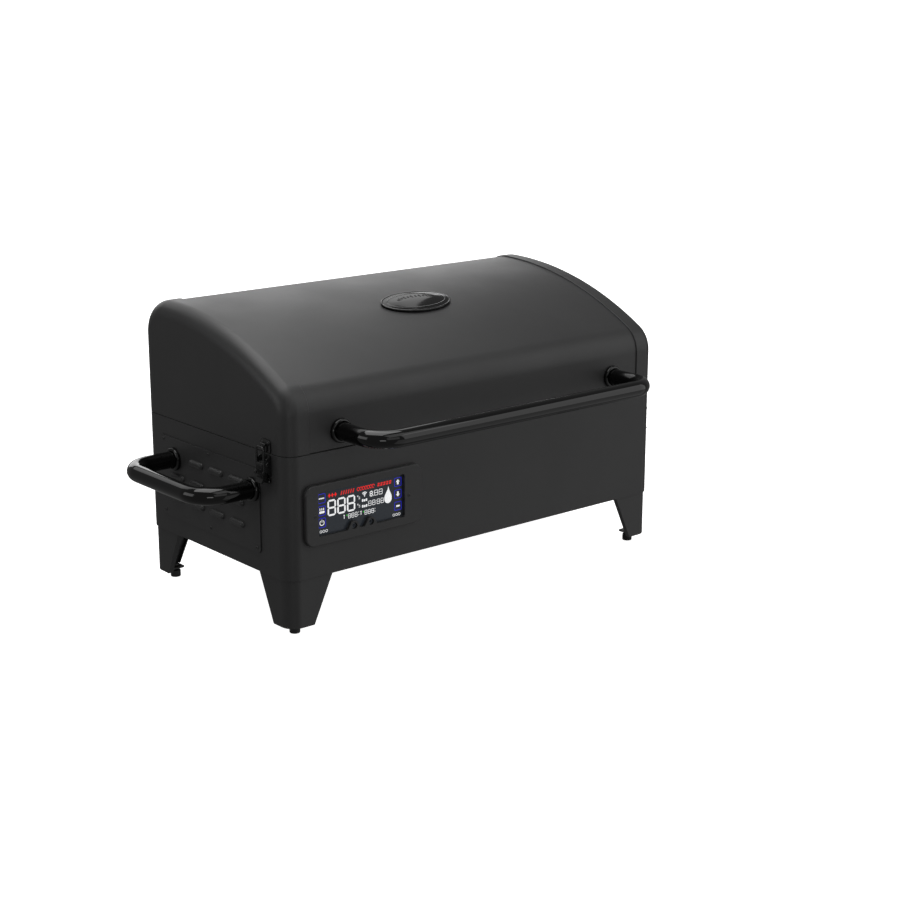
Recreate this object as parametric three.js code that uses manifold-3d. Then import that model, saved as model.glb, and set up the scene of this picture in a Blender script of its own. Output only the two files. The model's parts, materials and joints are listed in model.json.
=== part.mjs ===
// Portable pellet smoker grill: a sheet-metal body on four legs, a hinged lid with drawn end caps,
// a side hopper with an auger that feeds a fire pot, a fan, a control panel and a grease drawer.
// Millimetres, +Z up, -Y is the front, +X is the right-hand end seen from the front.
// Everything is placed about the middle of the body's footprint; the last lines move the origin to
// the middle of the whole object's base.
import * as THREE from 'three';
import { mergeVertices } from 'three/addons/utils/BufferGeometryUtils.js';
import Module from 'manifold-3d';

const wasm = await Module();
wasm.setup();

// ---------------------------------------------------------------- driving dimensions
const GAP = 0.3; // clearance between pieces that touch
const SHEET = 1.5; // body, skin and bracket sheet
const RUNNING = 0.06; // radial clearance of a shaft in its bore

// body
const BODY_W = 620;
const BODY_D = 320;
const BODY_LOW = 73;
const BODY_TOP = 227.9;
const CORNER_R = 20;
const FLANGE = 12; // inward flange at the body's top and bottom edges
const HALF_W = BODY_W / 2;
const HALF_D = BODY_D / 2;
const FLOOR_LOW = BODY_LOW + SHEET + GAP;
const FLOOR_TOP = FLOOR_LOW + SHEET;

// lid
const LID_LOW = 228.7;
const LID_FRONT_Z = 275.6; // where the vertical front meets its arc
const LID_FRONT_R = 40.6;
const LID_TOP_R = 512;
const LID_TOP_Y = 113.4;
const LID_TOP_Z = -134.1;
const LID_REAR_R = 45.8;
const CAP_SHEET = 1.2;
const CAP_RIM = 34.8; // how far the cap's rim laps in from the end face
const SKIN_INSET = CAP_SHEET + GAP;

// legs and feet
const LEG_LOW = 11.6;
const LEG_TOP = BODY_LOW - GAP;
const LEG_INSET = SHEET + GAP;
const LEG_SHEET = 2;
const LEG_WIDE = 66;
const LEG_NARROW = 38;
const LEG_HEM = 7;
const FOOT_INSET = 22;
const FOOT_R = 6.7;
const STUD_R = 3;
const PLATE_LOW = 12;
const FOOT_SIDES = 12;

// handles
const TUBE_R = 11;
const TUBE_SIDES = 12;
const FLANGE_R = 15.2;
const FLANGE_DEEP = 5;
const LID_HANDLE_HALF = 229;
const LID_HANDLE_Z = 249.9;
const LID_HANDLE_REACH = 73.5;
const LID_HANDLE_BEND = 32;
const SIDE_HANDLE_HALF = 89.5;
const SIDE_HANDLE_Z = 176.5;
const SIDE_HANDLE_REACH = 73.5;
const SIDE_HANDLE_BEND = 34;

// emblem on the lid
const EMBLEM_LONG = 55;
const EMBLEM_SHORT = 28.5;
const EMBLEM_ARC = -134.6; // along the lid's top arc, from its crest
const EMBLEM_TALL = 4;

// control panel on the front
const BEZEL = { x0: -287, x1: -109, z0: 113.5, z1: 190, r: 12 };
const WINDOW = { x0: -268.6, x1: -136.8, z0: 124.9, z1: 180.3 };
const BEZEL_PROUD = 6;
const PANEL_CUT = { x0: -274, x1: -131, z0: 119, z1: 186 }; // hole in the body behind the panel
const BOARD_SHEET = { x0: -270, x1: -134, y0: -156.5, y1: -154.9, z0: 121, z1: 183 };
const BEZEL_PLATE = 4.4;
const GLASS_THICK = 2.4;
const JACK_X = [-215.3, -189.5];
const JACK_Z = 128.9;
const JACK_HOLE_R = 4;
const JACK_TAB_R = 6.3;

// left access panel
const PANEL = { y0: -103.3, y1: 125, z0: 97, z1: 204, r: 6 };
const SERVICE_CUT = { y0: -90, y1: 112, z0: 105, z1: 196 }; // hole in the body behind it
const LOUVER_Y = [-54, -8.5, 37, 83];
const LOUVER_Z = [125.5, 153, 180];
const LOUVER_R = 4.5;
const LOUVER_LONG = 31;

// draw latches
const LATCH_Y = -119;
const LATCH_PIVOT = { x: 315.2, z: 216 };
const LATCH_BAIL = { x: 318.8, z: 205 };
const LATCH_PIN_R = 1.6;
const BAIL_PIN_R = 1.3;
const LATCH_REACH = 13; // how far the lever's finger tab stands off the side

// lid hinges
const HINGE_X = 200;
const HINGE_Y = HALF_D + 6;
const HINGE_Z = 228.3;
const HINGE_W = 50;
const HINGE_R = 4.5;
const HINGE_PIN_R = 2.5;
const PIN_SIDES = 12;

// pellet feed
const AUGER_Y = 40;
const AUGER_Z = 112;
const AUGER_TUBE_R = 20;
const AUGER_BORE_R = 17.8;
const AUGER_LEFT = -226;
const AUGER_PITCH = 38;
const AUGER_FLIGHT_R = 16.5;
const AUGER_CORE_R = 5;
const HOPPER = { x0: -288, x1: -124, y0: 20, y1: 138 };
const THROAT = { x0: -198, x1: -124, y0: 26, y1: 54 };
const HOPPER_LIP_Z = 224;
const HOPPER_KNEE_Z = 190;
const HOPPER_LOW_Z = AUGER_Z + AUGER_TUBE_R + 1;
const DECK_Z = 222.2;
const HOPPER_HINGE = { y: 138, z: 232 };
const HOPPER_PIN_R = 2;
const GUARD = { z: 204, slots: 7, first: 11, pitch: 21, wide: 15 };
const MOTOR = { half: 28, left: -262, canR: 22, canLeft: -298 };
const PARTITION_X = -101.5;

// fire
const POT_X = 105;
const POT_R = 45;
const POT_TOP = 136;
const IGNITER_Z = 86;
const IGNITER_R = 5;
const BAFFLE = { x0: 15, x1: 195, y0: -100, y1: 146, eave: 142, ridge: 152 };

// racks and trays
const RACK_X1 = 296;
const RACK_EDGE = HALF_D - SHEET - 3;
const TRAY_RAIL_Z = 166;
const GRATE_RAIL_Z = 194;
const RAIL_W = 12;
const SPOUT_X = 285;
const GRATE_BARS = 20;
const GRATE_GAP = 5;
const GRATE_TALL = 6;
const PROBE = { y: -60, z: 186, tip: -52 };
const DRAWER = { x0: 212, x1: 307, y: 60, z0: FLOOR_TOP + 0.4, z1: 100 };

// exhaust at the back
const EXHAUST = { x0: -80, slots: 6, pitch: 38, slot: 26, z0: 198.5, z1: 207 };
const HOOD = { proud: 14, low: 186, top: 214, fall: 6 };
const INLET = { x: -250, z: 112, half: 16, tall: 11 };

// fan
const FAN = { x0: -302, x1: -277, y: -44, z: 145, half: 40, bore: 37, blades: 7, hub: 13, axle: 2 };

// ---------------------------------------------------------------- colours
const paint = (color, roughness, metalness) =>
  new THREE.MeshStandardMaterial({ color, roughness, metalness, flatShading: true });
const BLACK_COAT = paint(0x24262a, 0.62, 0.25);
const GLOSS_BLACK = paint(0x0b0b0c, 0.12, 0.3);
const GLASS = paint(0x30353b, 0.1, 0.0);
const PLAIN_STEEL = paint(0x9a9c9e, 0.4, 0.9);
const ENAMEL = paint(0x1b1b1c, 0.35, 0.2);
const PLASTIC = paint(0x151516, 0.5, 0.0);
const BOARD = paint(0x1f5a35, 0.6, 0.0);

// ---------------------------------------------------------------- solids
function solid(geometry) {
  const bare = geometry.index ? geometry.toNonIndexed() : geometry.clone();
  bare.deleteAttribute('normal');
  bare.deleteAttribute('uv');
  const merged = mergeVertices(bare, 1e-4);
  const mesh = new wasm.Mesh({
    numProp: 3,
    vertProperties: merged.attributes.position.array,
    triVerts: new Uint32Array(merged.index.array),
  });
  return new wasm.Manifold(mesh);
}

function geometryOf(manifold) {
  const mesh = manifold.getMesh();
  const geometry = new THREE.BufferGeometry();
  geometry.setAttribute('position', new THREE.BufferAttribute(mesh.vertProperties, 3));
  geometry.setIndex(new THREE.BufferAttribute(mesh.triVerts, 1));
  return geometry;
}

const join = (...parts) => parts.reduce((whole, part) => whole.add(part));
const cut = (whole, ...parts) => parts.reduce((rest, part) => rest.subtract(part), whole);

function box(x0, x1, y0, y1, z0, z1) {
  const geometry = new THREE.BoxGeometry(x1 - x0, y1 - y0, z1 - z0);
  geometry.translate((x0 + x1) / 2, (y0 + y1) / 2, (z0 + z1) / 2);
  return solid(geometry);
}

// Outlines are drawn in the plane that they are extruded from: XY, XZ or YZ.
function extrude(shape, depth, curveSegments = 3) {
  return new THREE.ExtrudeGeometry(shape, { depth, bevelEnabled: false, curveSegments });
}

const prismXY = (shape, z0, z1, arcs) => solid(extrude(shape, z1 - z0, arcs).translate(0, 0, z0));

const prismXZ = (shape, y0, y1, arcs) =>
  solid(extrude(shape, y1 - y0, arcs).rotateX(Math.PI / 2).translate(0, y1, 0));

function prismYZ(shape, x0, x1, arcs) {
  const turn = new THREE.Matrix4().makeBasis(
    new THREE.Vector3(0, 1, 0),
    new THREE.Vector3(0, 0, 1),
    new THREE.Vector3(1, 0, 0),
  );
  return solid(extrude(shape, x1 - x0, arcs).applyMatrix4(turn).translate(x0, 0, 0));
}

const polygon = (...points) => new THREE.Shape(points.map(([u, v]) => new THREE.Vector2(u, v)));

function roundedRect(u0, u1, v0, v1, r) {
  const shape = new THREE.Shape();
  shape.absarc(u1 - r, v1 - r, r, 0, Math.PI / 2);
  shape.absarc(u0 + r, v1 - r, r, Math.PI / 2, Math.PI);
  shape.absarc(u0 + r, v0 + r, r, Math.PI, 1.5 * Math.PI);
  shape.absarc(u1 - r, v0 + r, r, 1.5 * Math.PI, 2 * Math.PI);
  return shape;
}

// A straight round bar or bore along one axis; a bore is made wide enough to clear a bar's corners.
function bar(axis, r, from, to, centre, sides = PIN_SIDES) {
  const geometry = new THREE.CylinderGeometry(r, r, to - from, sides);
  if (axis === 'x') geometry.rotateZ(-Math.PI / 2);
  if (axis === 'z') geometry.rotateX(Math.PI / 2);
  const middle = (from + to) / 2;
  const [a, b] = centre;
  if (axis === 'x') geometry.translate(middle, a, b);
  if (axis === 'y') geometry.translate(a, middle, b);
  if (axis === 'z') geometry.translate(a, b, middle);
  return solid(geometry);
}

const boreR = (r, sides = PIN_SIDES, clear = RUNNING) => (r + clear) / Math.cos(Math.PI / sides);

// A turned piece about +Z; the profile is a list of [radius, height].
function turned(profile, sides) {
  const points = profile.map(([r, h]) => new THREE.Vector2(r, h));
  return new THREE.LatheGeometry(points, sides).rotateX(Math.PI / 2);
}

// Rings with the same number of points, joined one after another; the end rings are convex.
function loft(rings) {
  const count = rings[0].length;
  const position = rings.flat().flatMap((p) => [p.x, p.y, p.z]);
  const index = [];
  for (let ring = 0; ring + 1 < rings.length; ring += 1) {
    for (let i = 0; i < count; i += 1) {
      const a = ring * count + i;
      const b = ring * count + ((i + 1) % count);
      index.push(a, b, a + count, b, b + count, a + count);
    }
  }
  const last = (rings.length - 1) * count;
  for (let i = 1; i + 1 < count; i += 1) {
    index.push(0, i + 1, i);
    index.push(last, last + i, last + i + 1);
  }
  const geometry = new THREE.BufferGeometry();
  geometry.setAttribute('position', new THREE.Float32BufferAttribute(position, 3));
  geometry.setIndex(index);
  return solid(geometry);
}

// ---------------------------------------------------------------- the scene
const grill = new THREE.Group();

function add(name, shape, material) {
  const geometry = shape.isBufferGeometry ? shape : geometryOf(shape);
  const mesh = new THREE.Mesh(geometry, material);
  mesh.name = name;
  grill.add(mesh);
  return mesh;
}

// ---------------------------------------------------------------- body
function bodyShell() {
  const outer = (z0, z1) =>
    prismXY(roundedRect(-HALF_W, HALF_W, -HALF_D, HALF_D, CORNER_R), z0, z1);
  const inner = (inset, z0, z1) => {
    const r = Math.max(CORNER_R - inset, 6);
    return prismXY(
      roundedRect(-HALF_W + inset, HALF_W - inset, -HALF_D + inset, HALF_D - inset, r), z0, z1,
    );
  };
  const wall = cut(outer(BODY_LOW, BODY_TOP), inner(SHEET, BODY_LOW + SHEET, BODY_TOP - SHEET));
  const open = cut(wall, inner(FLANGE, BODY_LOW - 1, BODY_TOP + 1));
  const rails = [TRAY_RAIL_Z, GRATE_RAIL_Z].flatMap((z) => [
    box(PARTITION_X + 6, 300, -HALF_D + 0.5, -HALF_D + RAIL_W, z, z + SHEET),
    box(PARTITION_X + 6, 300, HALF_D - RAIL_W, HALF_D - 0.5, z, z + SHEET),
  ]);
  const cutIn = 4;
  const { x0, x1, z0, z1 } = PANEL_CUT;
  const control = box(x0, x1, -HALF_D - cutIn, -HALF_D + cutIn, z0, z1);
  const service = SERVICE_CUT;
  const access = box(
    -HALF_W - cutIn, -HALF_W + cutIn, service.y0, service.y1, service.z0, service.z1,
  );
  const drawerY = DRAWER.y + 0.6;
  const drawer = box(HALF_W - cutIn, HALF_W + cutIn, -drawerY, drawerY, FLOOR_TOP, DRAWER.z1 + 0.6);
  const inlet = box(
    INLET.x - INLET.half, INLET.x + INLET.half,
    HALF_D - cutIn, HALF_D + cutIn,
    INLET.z - INLET.tall, INLET.z + INLET.tall,
  );
  const exhaust = [];
  for (let i = 0; i < EXHAUST.slots; i += 1) {
    const left = EXHAUST.x0 + i * EXHAUST.pitch;
    const right = left + EXHAUST.slot;
    exhaust.push(box(left, right, HALF_D - cutIn, HALF_D + cutIn, EXHAUST.z0, EXHAUST.z1));
  }
  return cut(join(open, ...rails), control, access, drawer, inlet, ...exhaust);
}

function bodyFloor() {
  const edge = SHEET + GAP;
  const sheet = roundedRect(-HALF_W + edge, HALF_W - edge, -HALF_D + edge, HALF_D - edge, 18);
  return prismXY(sheet, FLOOR_LOW, FLOOR_TOP);
}

function partitionWall() {
  const low = FLOOR_TOP + GAP;
  const edge = HALF_D - SHEET - GAP;
  const wall = box(PARTITION_X, PARTITION_X + SHEET, -edge, edge, low, DECK_Z - GAP);
  const [from, to] = [PARTITION_X - 10, PARTITION_X + 10];
  const tubeHole = bar('x', AUGER_TUBE_R + 2 * GAP, from, to, [AUGER_Y, AUGER_Z], 24);
  const igniterHole = bar('x', IGNITER_R + 2 * GAP, from, to, [AUGER_Y, IGNITER_Z]);
  return cut(wall, tubeHole, igniterHole);
}

function hopperDeck() {
  const edge = SHEET + GAP;
  const sheet = roundedRect(-HALF_W + edge, PARTITION_X + 9, -HALF_D + edge, HALF_D - edge, 18);
  const plate = prismXY(sheet, DECK_Z, DECK_Z + SHEET);
  const { x0, x1, y0, y1 } = HOPPER;
  const mouth = box(x0 - 2, x1 + 2, y0 - 2, y1 + 2, DECK_Z - 10, DECK_Z + 10);
  return cut(plate, mouth);
}

// ---------------------------------------------------------------- legs and feet
const footX = HALF_W - FOOT_INSET;
const footY = HALF_D - FOOT_INSET;

// The leg under the right rear corner; the other three are mirrored from it.
function cornerColumn(x0, y0, inset) {
  const x1 = HALF_W - inset;
  const y1 = HALF_D - inset;
  const r = CORNER_R - inset;
  const shape = new THREE.Shape();
  shape.moveTo(x0, y0);
  shape.lineTo(x1, y0);
  shape.absarc(x1 - r, y1 - r, r, 0, Math.PI / 2);
  shape.lineTo(x0, y1);
  return shape;
}

function leg() {
  const x0 = HALF_W - LEG_WIDE;
  const y0 = HALF_D - LEG_WIDE;
  const column = prismXY(cornerColumn(x0, y0, LEG_INSET), LEG_LOW, LEG_TOP);
  const inside = prismXY(cornerColumn(x0 - 1, y0 - 1, LEG_INSET + LEG_SHEET), 0, 100);
  const angle = cut(column, inside);
  // The slanted edge, from wide at the top to narrow at the bottom, as a line from the outer corner.
  const slant = (far) => [[far - LEG_WIDE, LEG_TOP], [far - LEG_NARROW, LEG_LOW]];
  const away = (far) => {
    const [high, low] = slant(far);
    const beyond = far - LEG_WIDE - 20;
    return polygon(
      [beyond, LEG_TOP + 1], [high[0], LEG_TOP + 1], high, low, [low[0], 0], [beyond, 0],
    );
  };
  const hem = (far) => {
    const [high, low] = slant(far);
    return polygon(high, low, [low[0] + LEG_SHEET, low[1]], [high[0] + LEG_SHEET, high[1]]);
  };
  const inX = HALF_W - LEG_INSET;
  const inY = HALF_D - LEG_INSET;
  const tapered = cut(
    angle,
    prismXZ(away(HALF_W), inY - 10, inY + 5),
    prismYZ(away(HALF_D), inX - 10, inX + 5),
  );
  const plateIn = LEG_INSET + 0.5;
  const footPlate = prismXY(cornerColumn(footX - 8, footY - 8, plateIn), PLATE_LOW, PLATE_LOW + 2);
  const topPlate = prismXY(cornerColumn(x0 + 6, y0 + 6, plateIn), LEG_TOP - 2, LEG_TOP);
  const studHole = bar('z', boreR(STUD_R, FOOT_SIDES), 10, 40, [footX, footY], FOOT_SIDES);
  const whole = join(
    tapered,
    prismXZ(hem(HALF_W), inY - LEG_HEM, inY - 1),
    prismYZ(hem(HALF_D), inX - LEG_HEM, inX - 1),
    footPlate,
    topPlate,
  );
  return geometryOf(cut(whole, studHole));
}

function levellingFoot() {
  const profile = [
    [0, 0],
    [FOOT_R - 0.6, 0],
    [FOOT_R, 0.8],
    [FOOT_R, 9.2],
    [STUD_R, 10.6],
    [STUD_R, 38],
    [0, 38],
  ];
  return turned(profile, FOOT_SIDES).translate(footX, footY, 0);
}

const CORNERS = [
  ['front_left', -1, -1],
  ['front_right', 1, -1],
  ['rear_left', -1, 1],
  ['rear_right', 1, 1],
];

// ---------------------------------------------------------------- lid
function arc(u, v, r, from, to, steps) {
  const points = [];
  for (let i = 0; i <= steps; i += 1) {
    const angle = from + ((to - from) * i) / steps;
    points.push(new THREE.Vector2(u + r * Math.cos(angle), v + r * Math.sin(angle)));
  }
  return points;
}

// The lid's cross-section in YZ, from the front edge over the top to the rear edge, moved inwards.
function lidOutline(inset, low) {
  const frontY = -HALF_D + LID_FRONT_R;
  const rearY = HALF_D - LID_REAR_R;
  const rise = (r, y) => Math.sqrt((LID_TOP_R - r) ** 2 - (y - LID_TOP_Y) ** 2) + LID_TOP_Z;
  const frontZ = rise(LID_FRONT_R, frontY);
  const rearZ = rise(LID_REAR_R, rearY);
  const frontTurn = Math.atan2(frontZ - LID_TOP_Z, frontY - LID_TOP_Y);
  const rearTurn = Math.atan2(rearZ - LID_TOP_Z, rearY - LID_TOP_Y);
  return [
    new THREE.Vector2(-HALF_D + inset, low),
    ...arc(frontY, frontZ, LID_FRONT_R - inset, Math.PI, frontTurn, 5),
    ...arc(LID_TOP_Y, LID_TOP_Z, LID_TOP_R - inset, frontTurn, rearTurn, 8).slice(1),
    ...arc(rearY, rearZ, LID_REAR_R - inset, rearTurn, 0, 6).slice(1),
    new THREE.Vector2(HALF_D - inset, low),
  ];
}

function lidSkin() {
  const outside = lidOutline(SKIN_INSET, LID_LOW);
  const inside = lidOutline(SKIN_INSET + SHEET, LID_LOW).reverse();
  const half = HALF_W - CAP_RIM + 14;
  return prismYZ(new THREE.Shape([...outside, ...inside]), -half, half);
}

// A drawn cap at the right end: outside less inside, each a loft that rounds over at the end face.
function lidCap() {
  const dome = (sheet, start, low) => {
    const ring = (x, inset) => lidOutline(inset, low).map((p) => new THREE.Vector3(x, p.x, p.y));
    const centre = HALF_W - CORNER_R;
    const r = CORNER_R - sheet;
    const rings = [ring(start, sheet)];
    const steps = 4;
    for (let i = 0; i <= steps; i += 1) {
      const turn = ((Math.PI / 2) * i) / steps;
      rings.push(ring(centre + r * Math.sin(turn), CORNER_R - r * Math.cos(turn)));
    }
    return loft(rings.map((points) => points.reverse()));
  };
  const start = HALF_W - CAP_RIM;
  return geometryOf(cut(dome(0, start, LID_LOW), dome(CAP_SHEET, start - 5, LID_LOW - 5)));
}

function emblem() {
  const oval = (long, short) => new THREE.Shape().absellipse(0, 0, long, short, 0, 2 * Math.PI);
  const low = GAP;
  const top = SKIN_INSET + EMBLEM_TALL;
  const bevel = 1.5;
  const rim = 6;
  const blank = solid(
    new THREE.ExtrudeGeometry(oval(EMBLEM_LONG - bevel, EMBLEM_SHORT - bevel), {
      depth: top - low - 2 * bevel,
      bevelSize: bevel,
      bevelThickness: bevel,
      bevelSegments: 2,
      curveSegments: 10,
    }).translate(0, 0, low + bevel),
  );
  const field = prismXY(oval(EMBLEM_LONG - rim, EMBLEM_SHORT - rim), top - 0.8, top + 5, 10);
  return geometryOf(cut(blank, field));
}

// ---------------------------------------------------------------- handles
// A U of tube in its own XY plane: both ends on Y = 0, the grip along X at Y = reach.
function handleTube(half, reach, bend, steps) {
  const path = new THREE.CurvePath();
  const at = (x, y) => new THREE.Vector3(x, y, 0);
  path.add(new THREE.LineCurve3(at(-half, 0), at(-half, reach - bend)));
  path.add(roundBend(at(-half, reach - bend), at(-half, reach), at(-half + bend, reach)));
  path.add(new THREE.LineCurve3(at(-half + bend, reach), at(half - bend, reach)));
  path.add(roundBend(at(half - bend, reach), at(half, reach), at(half, reach - bend)));
  path.add(new THREE.LineCurve3(at(half, reach - bend), at(half, 0)));
  const section = arc(0, 0, TUBE_R, 0, 2 * Math.PI, TUBE_SIDES).slice(1);
  return new THREE.ExtrudeGeometry(new THREE.Shape(section), { steps, extrudePath: path });
}

// A quarter turn as a cubic whose handles follow the circle.
function roundBend(from, corner, to) {
  const circle = 0.5523;
  const first = from.clone().lerp(corner, circle);
  const second = to.clone().lerp(corner, circle);
  return new THREE.CubicBezierCurve3(from, first, second, to);
}

function handleFlange() {
  const inner = TUBE_R + GAP + 0.2;
  const profile = [
    [inner, 0],
    [FLANGE_R, 0],
    [FLANGE_R, FLANGE_DEEP * 0.55],
    [FLANGE_R - 2, FLANGE_DEEP],
    [inner, FLANGE_DEEP],
    [inner, 0],
  ];
  return turned(profile, 16);
}

// ---------------------------------------------------------------- control panel
// The window's outline, with a tab for each probe jack standing in its bottom edge.
function windowOutline() {
  const { x0, x1, z0, z1 } = WINDOW;
  const tabs = JACK_X.flatMap((x) => {
    const top = arc(x, JACK_Z, JACK_TAB_R, (5 * Math.PI) / 6, 0.35, 6);
    const rim = top.map((p) => [p.x, p.y]);
    return [[x - 10.4, z0], ...rim, [x + 9.2, z0]];
  });
  return polygon([x0, z0], ...tabs, [x1, z0], [x1, z1], [x0, z1]);
}

const BEZEL_FRONT = -HALF_D - BEZEL_PROUD;
const BEZEL_BACK = BEZEL_FRONT + BEZEL_PLATE;
const GLASS_FRONT = BEZEL_BACK + GAP;
const GLASS_EDGE = 2.5;

function controlBezel() {
  const face = roundedRect(BEZEL.x0, BEZEL.x1, BEZEL.z0, BEZEL.z1, BEZEL.r);
  const blank = prismXZ(face, BEZEL_FRONT, -HALF_D - GAP);
  const seat = box(
    WINDOW.x0 - GLASS_EDGE - GAP, WINDOW.x1 + GLASS_EDGE + GAP,
    BEZEL_BACK, -HALF_D + 5,
    WINDOW.z0 - GLASS_EDGE - GAP, WINDOW.z1 + GLASS_EDGE + GAP,
  );
  const view = prismXZ(windowOutline(), BEZEL_FRONT - 1, -HALF_D + 5);
  const holes = JACK_X.map((x) =>
    bar('y', JACK_HOLE_R, BEZEL_FRONT - 1, -HALF_D + 5, [x, JACK_Z], 14),
  );
  return cut(blank, seat, view, ...holes);
}

function displayGlass() {
  const pane = box(
    WINDOW.x0 - GLASS_EDGE, WINDOW.x1 + GLASS_EDGE,
    GLASS_FRONT, GLASS_FRONT + GLASS_THICK,
    WINDOW.z0 - GLASS_EDGE, WINDOW.z1 + GLASS_EDGE,
  );
  const holes = JACK_X.map((x) =>
    bar('y', JACK_HOLE_R + 0.6, GLASS_FRONT - 1, GLASS_FRONT + GLASS_THICK + 1, [x, JACK_Z], 14),
  );
  return cut(pane, ...holes);
}

function controlBoard() {
  const { x0, x1, y0, y1, z0, z1 } = BOARD_SHEET;
  const onBack = y0 + 1;
  const plug = box(x0 + 26, x0 + 66, onBack, onBack + 9.5, z0 + 31, z0 + 51);
  const relay = box(x0 + 86, x0 + 116, onBack, onBack + 12.5, z0 + 26, z0 + 46);
  return join(box(x0, x1, y0, y1, z0, z1), plug, relay);
}

function probeJack(x) {
  const deep = BOARD_SHEET.y0 - 0.8;
  const front = BEZEL_FRONT + 0.8;
  const barrel = bar('y', JACK_HOLE_R - GAP, front, deep, [x, JACK_Z], 14);
  return cut(barrel, bar('y', 2.6, front - 1, deep - 1.5, [x, JACK_Z], 14));
}

// ---------------------------------------------------------------- left access panel
function accessPanel() {
  const face = roundedRect(PANEL.y0, PANEL.y1, PANEL.z0, PANEL.z1, PANEL.r);
  const back = -HALF_W - GAP;
  const front = back - CAP_SHEET;
  const hoods = [];
  for (const z of LOUVER_Z) {
    for (const y of LOUVER_Y) {
      const underHandle = z === LOUVER_Z[2] && y === LOUVER_Y[3];
      if (!underHandle) {
        const hood = new THREE.CapsuleGeometry(LOUVER_R, LOUVER_LONG - 2 * LOUVER_R, 2, 8);
        hoods.push(solid(hood.translate(front, y, z)));
      }
    }
  }
  const inside = box(back, back + 20, -HALF_D, HALF_D, BODY_LOW, BODY_TOP);
  return cut(join(prismYZ(face, front, back), ...hoods), inside);
}

// ---------------------------------------------------------------- draw latch, at the right end
const LATCH_HALF = 10;
const EAR = 1.6;
const BAIL_BAR = 1.7;
const LEVER_HALF = LATCH_HALF - EAR - BAIL_BAR - 2 * GAP;

function latchBase() {
  const back = HALF_W + GAP;
  const plate = box(back, back + SHEET, LATCH_Y - LATCH_HALF, LATCH_Y + LATCH_HALF, 191, 226);
  const foot = box(back, back + 3, LATCH_Y - LATCH_HALF - 2, LATCH_Y + LATCH_HALF + 2, 190, 197);
  const ears = [-1, 1].map((side) => {
    const outer = LATCH_Y + side * LATCH_HALF;
    const inner = outer - side * EAR;
    const shape = polygon([back, 200], [319, 209], [319, 221], [back, 226]);
    return prismXZ(shape, Math.min(outer, inner), Math.max(outer, inner));
  });
  const [from, to] = [LATCH_Y - 20, LATCH_Y + 20];
  const bore = bar('y', boreR(LATCH_PIN_R), from, to, [LATCH_PIVOT.x, LATCH_PIVOT.z]);
  return geometryOf(cut(join(plate, foot, ...ears), bore));
}

function latchLever() {
  const tip = HALF_W + LATCH_REACH;
  const side = polygon(
    [313.2, 217.5], [313.2, 200], [315, 196], [tip - 1.4, 191.8], [tip, 193.4],
    [319.8, 198], [320.8, 203], [320.8, 215.6], [320.1, 217.1], [318.5, 218], [316.9, 218.6],
    [315.2, 219], [314, 218.6],
  );
  const body = prismXZ(side, LATCH_Y - LEVER_HALF, LATCH_Y + LEVER_HALF);
  const pin = bar('y', LATCH_PIN_R, LATCH_Y - LATCH_HALF - 0.8, LATCH_Y + LATCH_HALF + 0.8,
    [LATCH_PIVOT.x, LATCH_PIVOT.z]);
  const bailReach = LEVER_HALF + GAP + BAIL_BAR;
  const bailPin = bar('y', BAIL_PIN_R, LATCH_Y - bailReach, LATCH_Y + bailReach,
    [LATCH_BAIL.x, LATCH_BAIL.z]);
  return geometryOf(join(body, pin, bailPin));
}

function latchBail() {
  const inner = LEVER_HALF + GAP;
  const { x, z } = LATCH_BAIL;
  const top = 238.4;
  const arms = [-1, 1].map((side) => {
    const y = LATCH_Y + side * (inner + BAIL_BAR / 2);
    const shape = roundedRect(x - 1.6, x + 2.4, z - 3.5, top, 1.4);
    return prismXZ(shape, y - BAIL_BAR / 2, y + BAIL_BAR / 2, 2);
  });
  const reach = inner + 1;
  const bridge = box(x - 1.4, x + 2.2, LATCH_Y - reach, LATCH_Y + reach, top - 3.4, top - 0.2);
  const bore = bar('y', boreR(BAIL_PIN_R), LATCH_Y - 20, LATCH_Y + 20, [x, z]);
  return geometryOf(cut(join(bridge, ...arms), bore));
}

function latchKeeper() {
  const back = HALF_W + GAP;
  const half = 9;
  const shape = new THREE.Shape();
  shape.moveTo(LATCH_Y - half, 229.6);
  shape.lineTo(LATCH_Y + half, 229.6);
  shape.absarc(LATCH_Y + half - 5, 240, 5, 0, Math.PI / 2);
  shape.absarc(LATCH_Y - half + 5, 240, 5, Math.PI / 2, Math.PI);
  const plate = prismYZ(shape, back, back + SHEET);
  const block = box(back + 1, 313.8, LATCH_Y - 5, LATCH_Y + 5, 231, 239.4);
  const lip = box(312.8, 315.6, LATCH_Y - 5, LATCH_Y + 5, 237.4, 240.6);
  return geometryOf(join(plate, block, lip));
}

// ---------------------------------------------------------------- lid hinges
const KNUCKLE_W = HINGE_W / 3;

function knuckle(from, to) {
  return bar('x', HINGE_R, from, to, [HINGE_Y, HINGE_Z], 14);
}

const hingeBore = () => bar('x', boreR(HINGE_PIN_R), -40, 40, [HINGE_Y, HINGE_Z]);

function hingeBodyLeaf() {
  const half = HINGE_W / 2;
  const middle = KNUCKLE_W / 2 + 0.2;
  const back = HALF_D + GAP;
  const plate = box(-half, half, back, back + 2, 196, HINGE_Z - HINGE_R - 0.6);
  const webs = [-1, 1].map((side) => {
    const x0 = Math.min(side * middle, side * half);
    const x1 = Math.max(side * middle, side * half);
    return join(knuckle(x0, x1), box(x0, x1, back, back + 2.4, 220, HINGE_Z));
  });
  return geometryOf(cut(join(plate, ...webs), hingeBore()));
}

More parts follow.
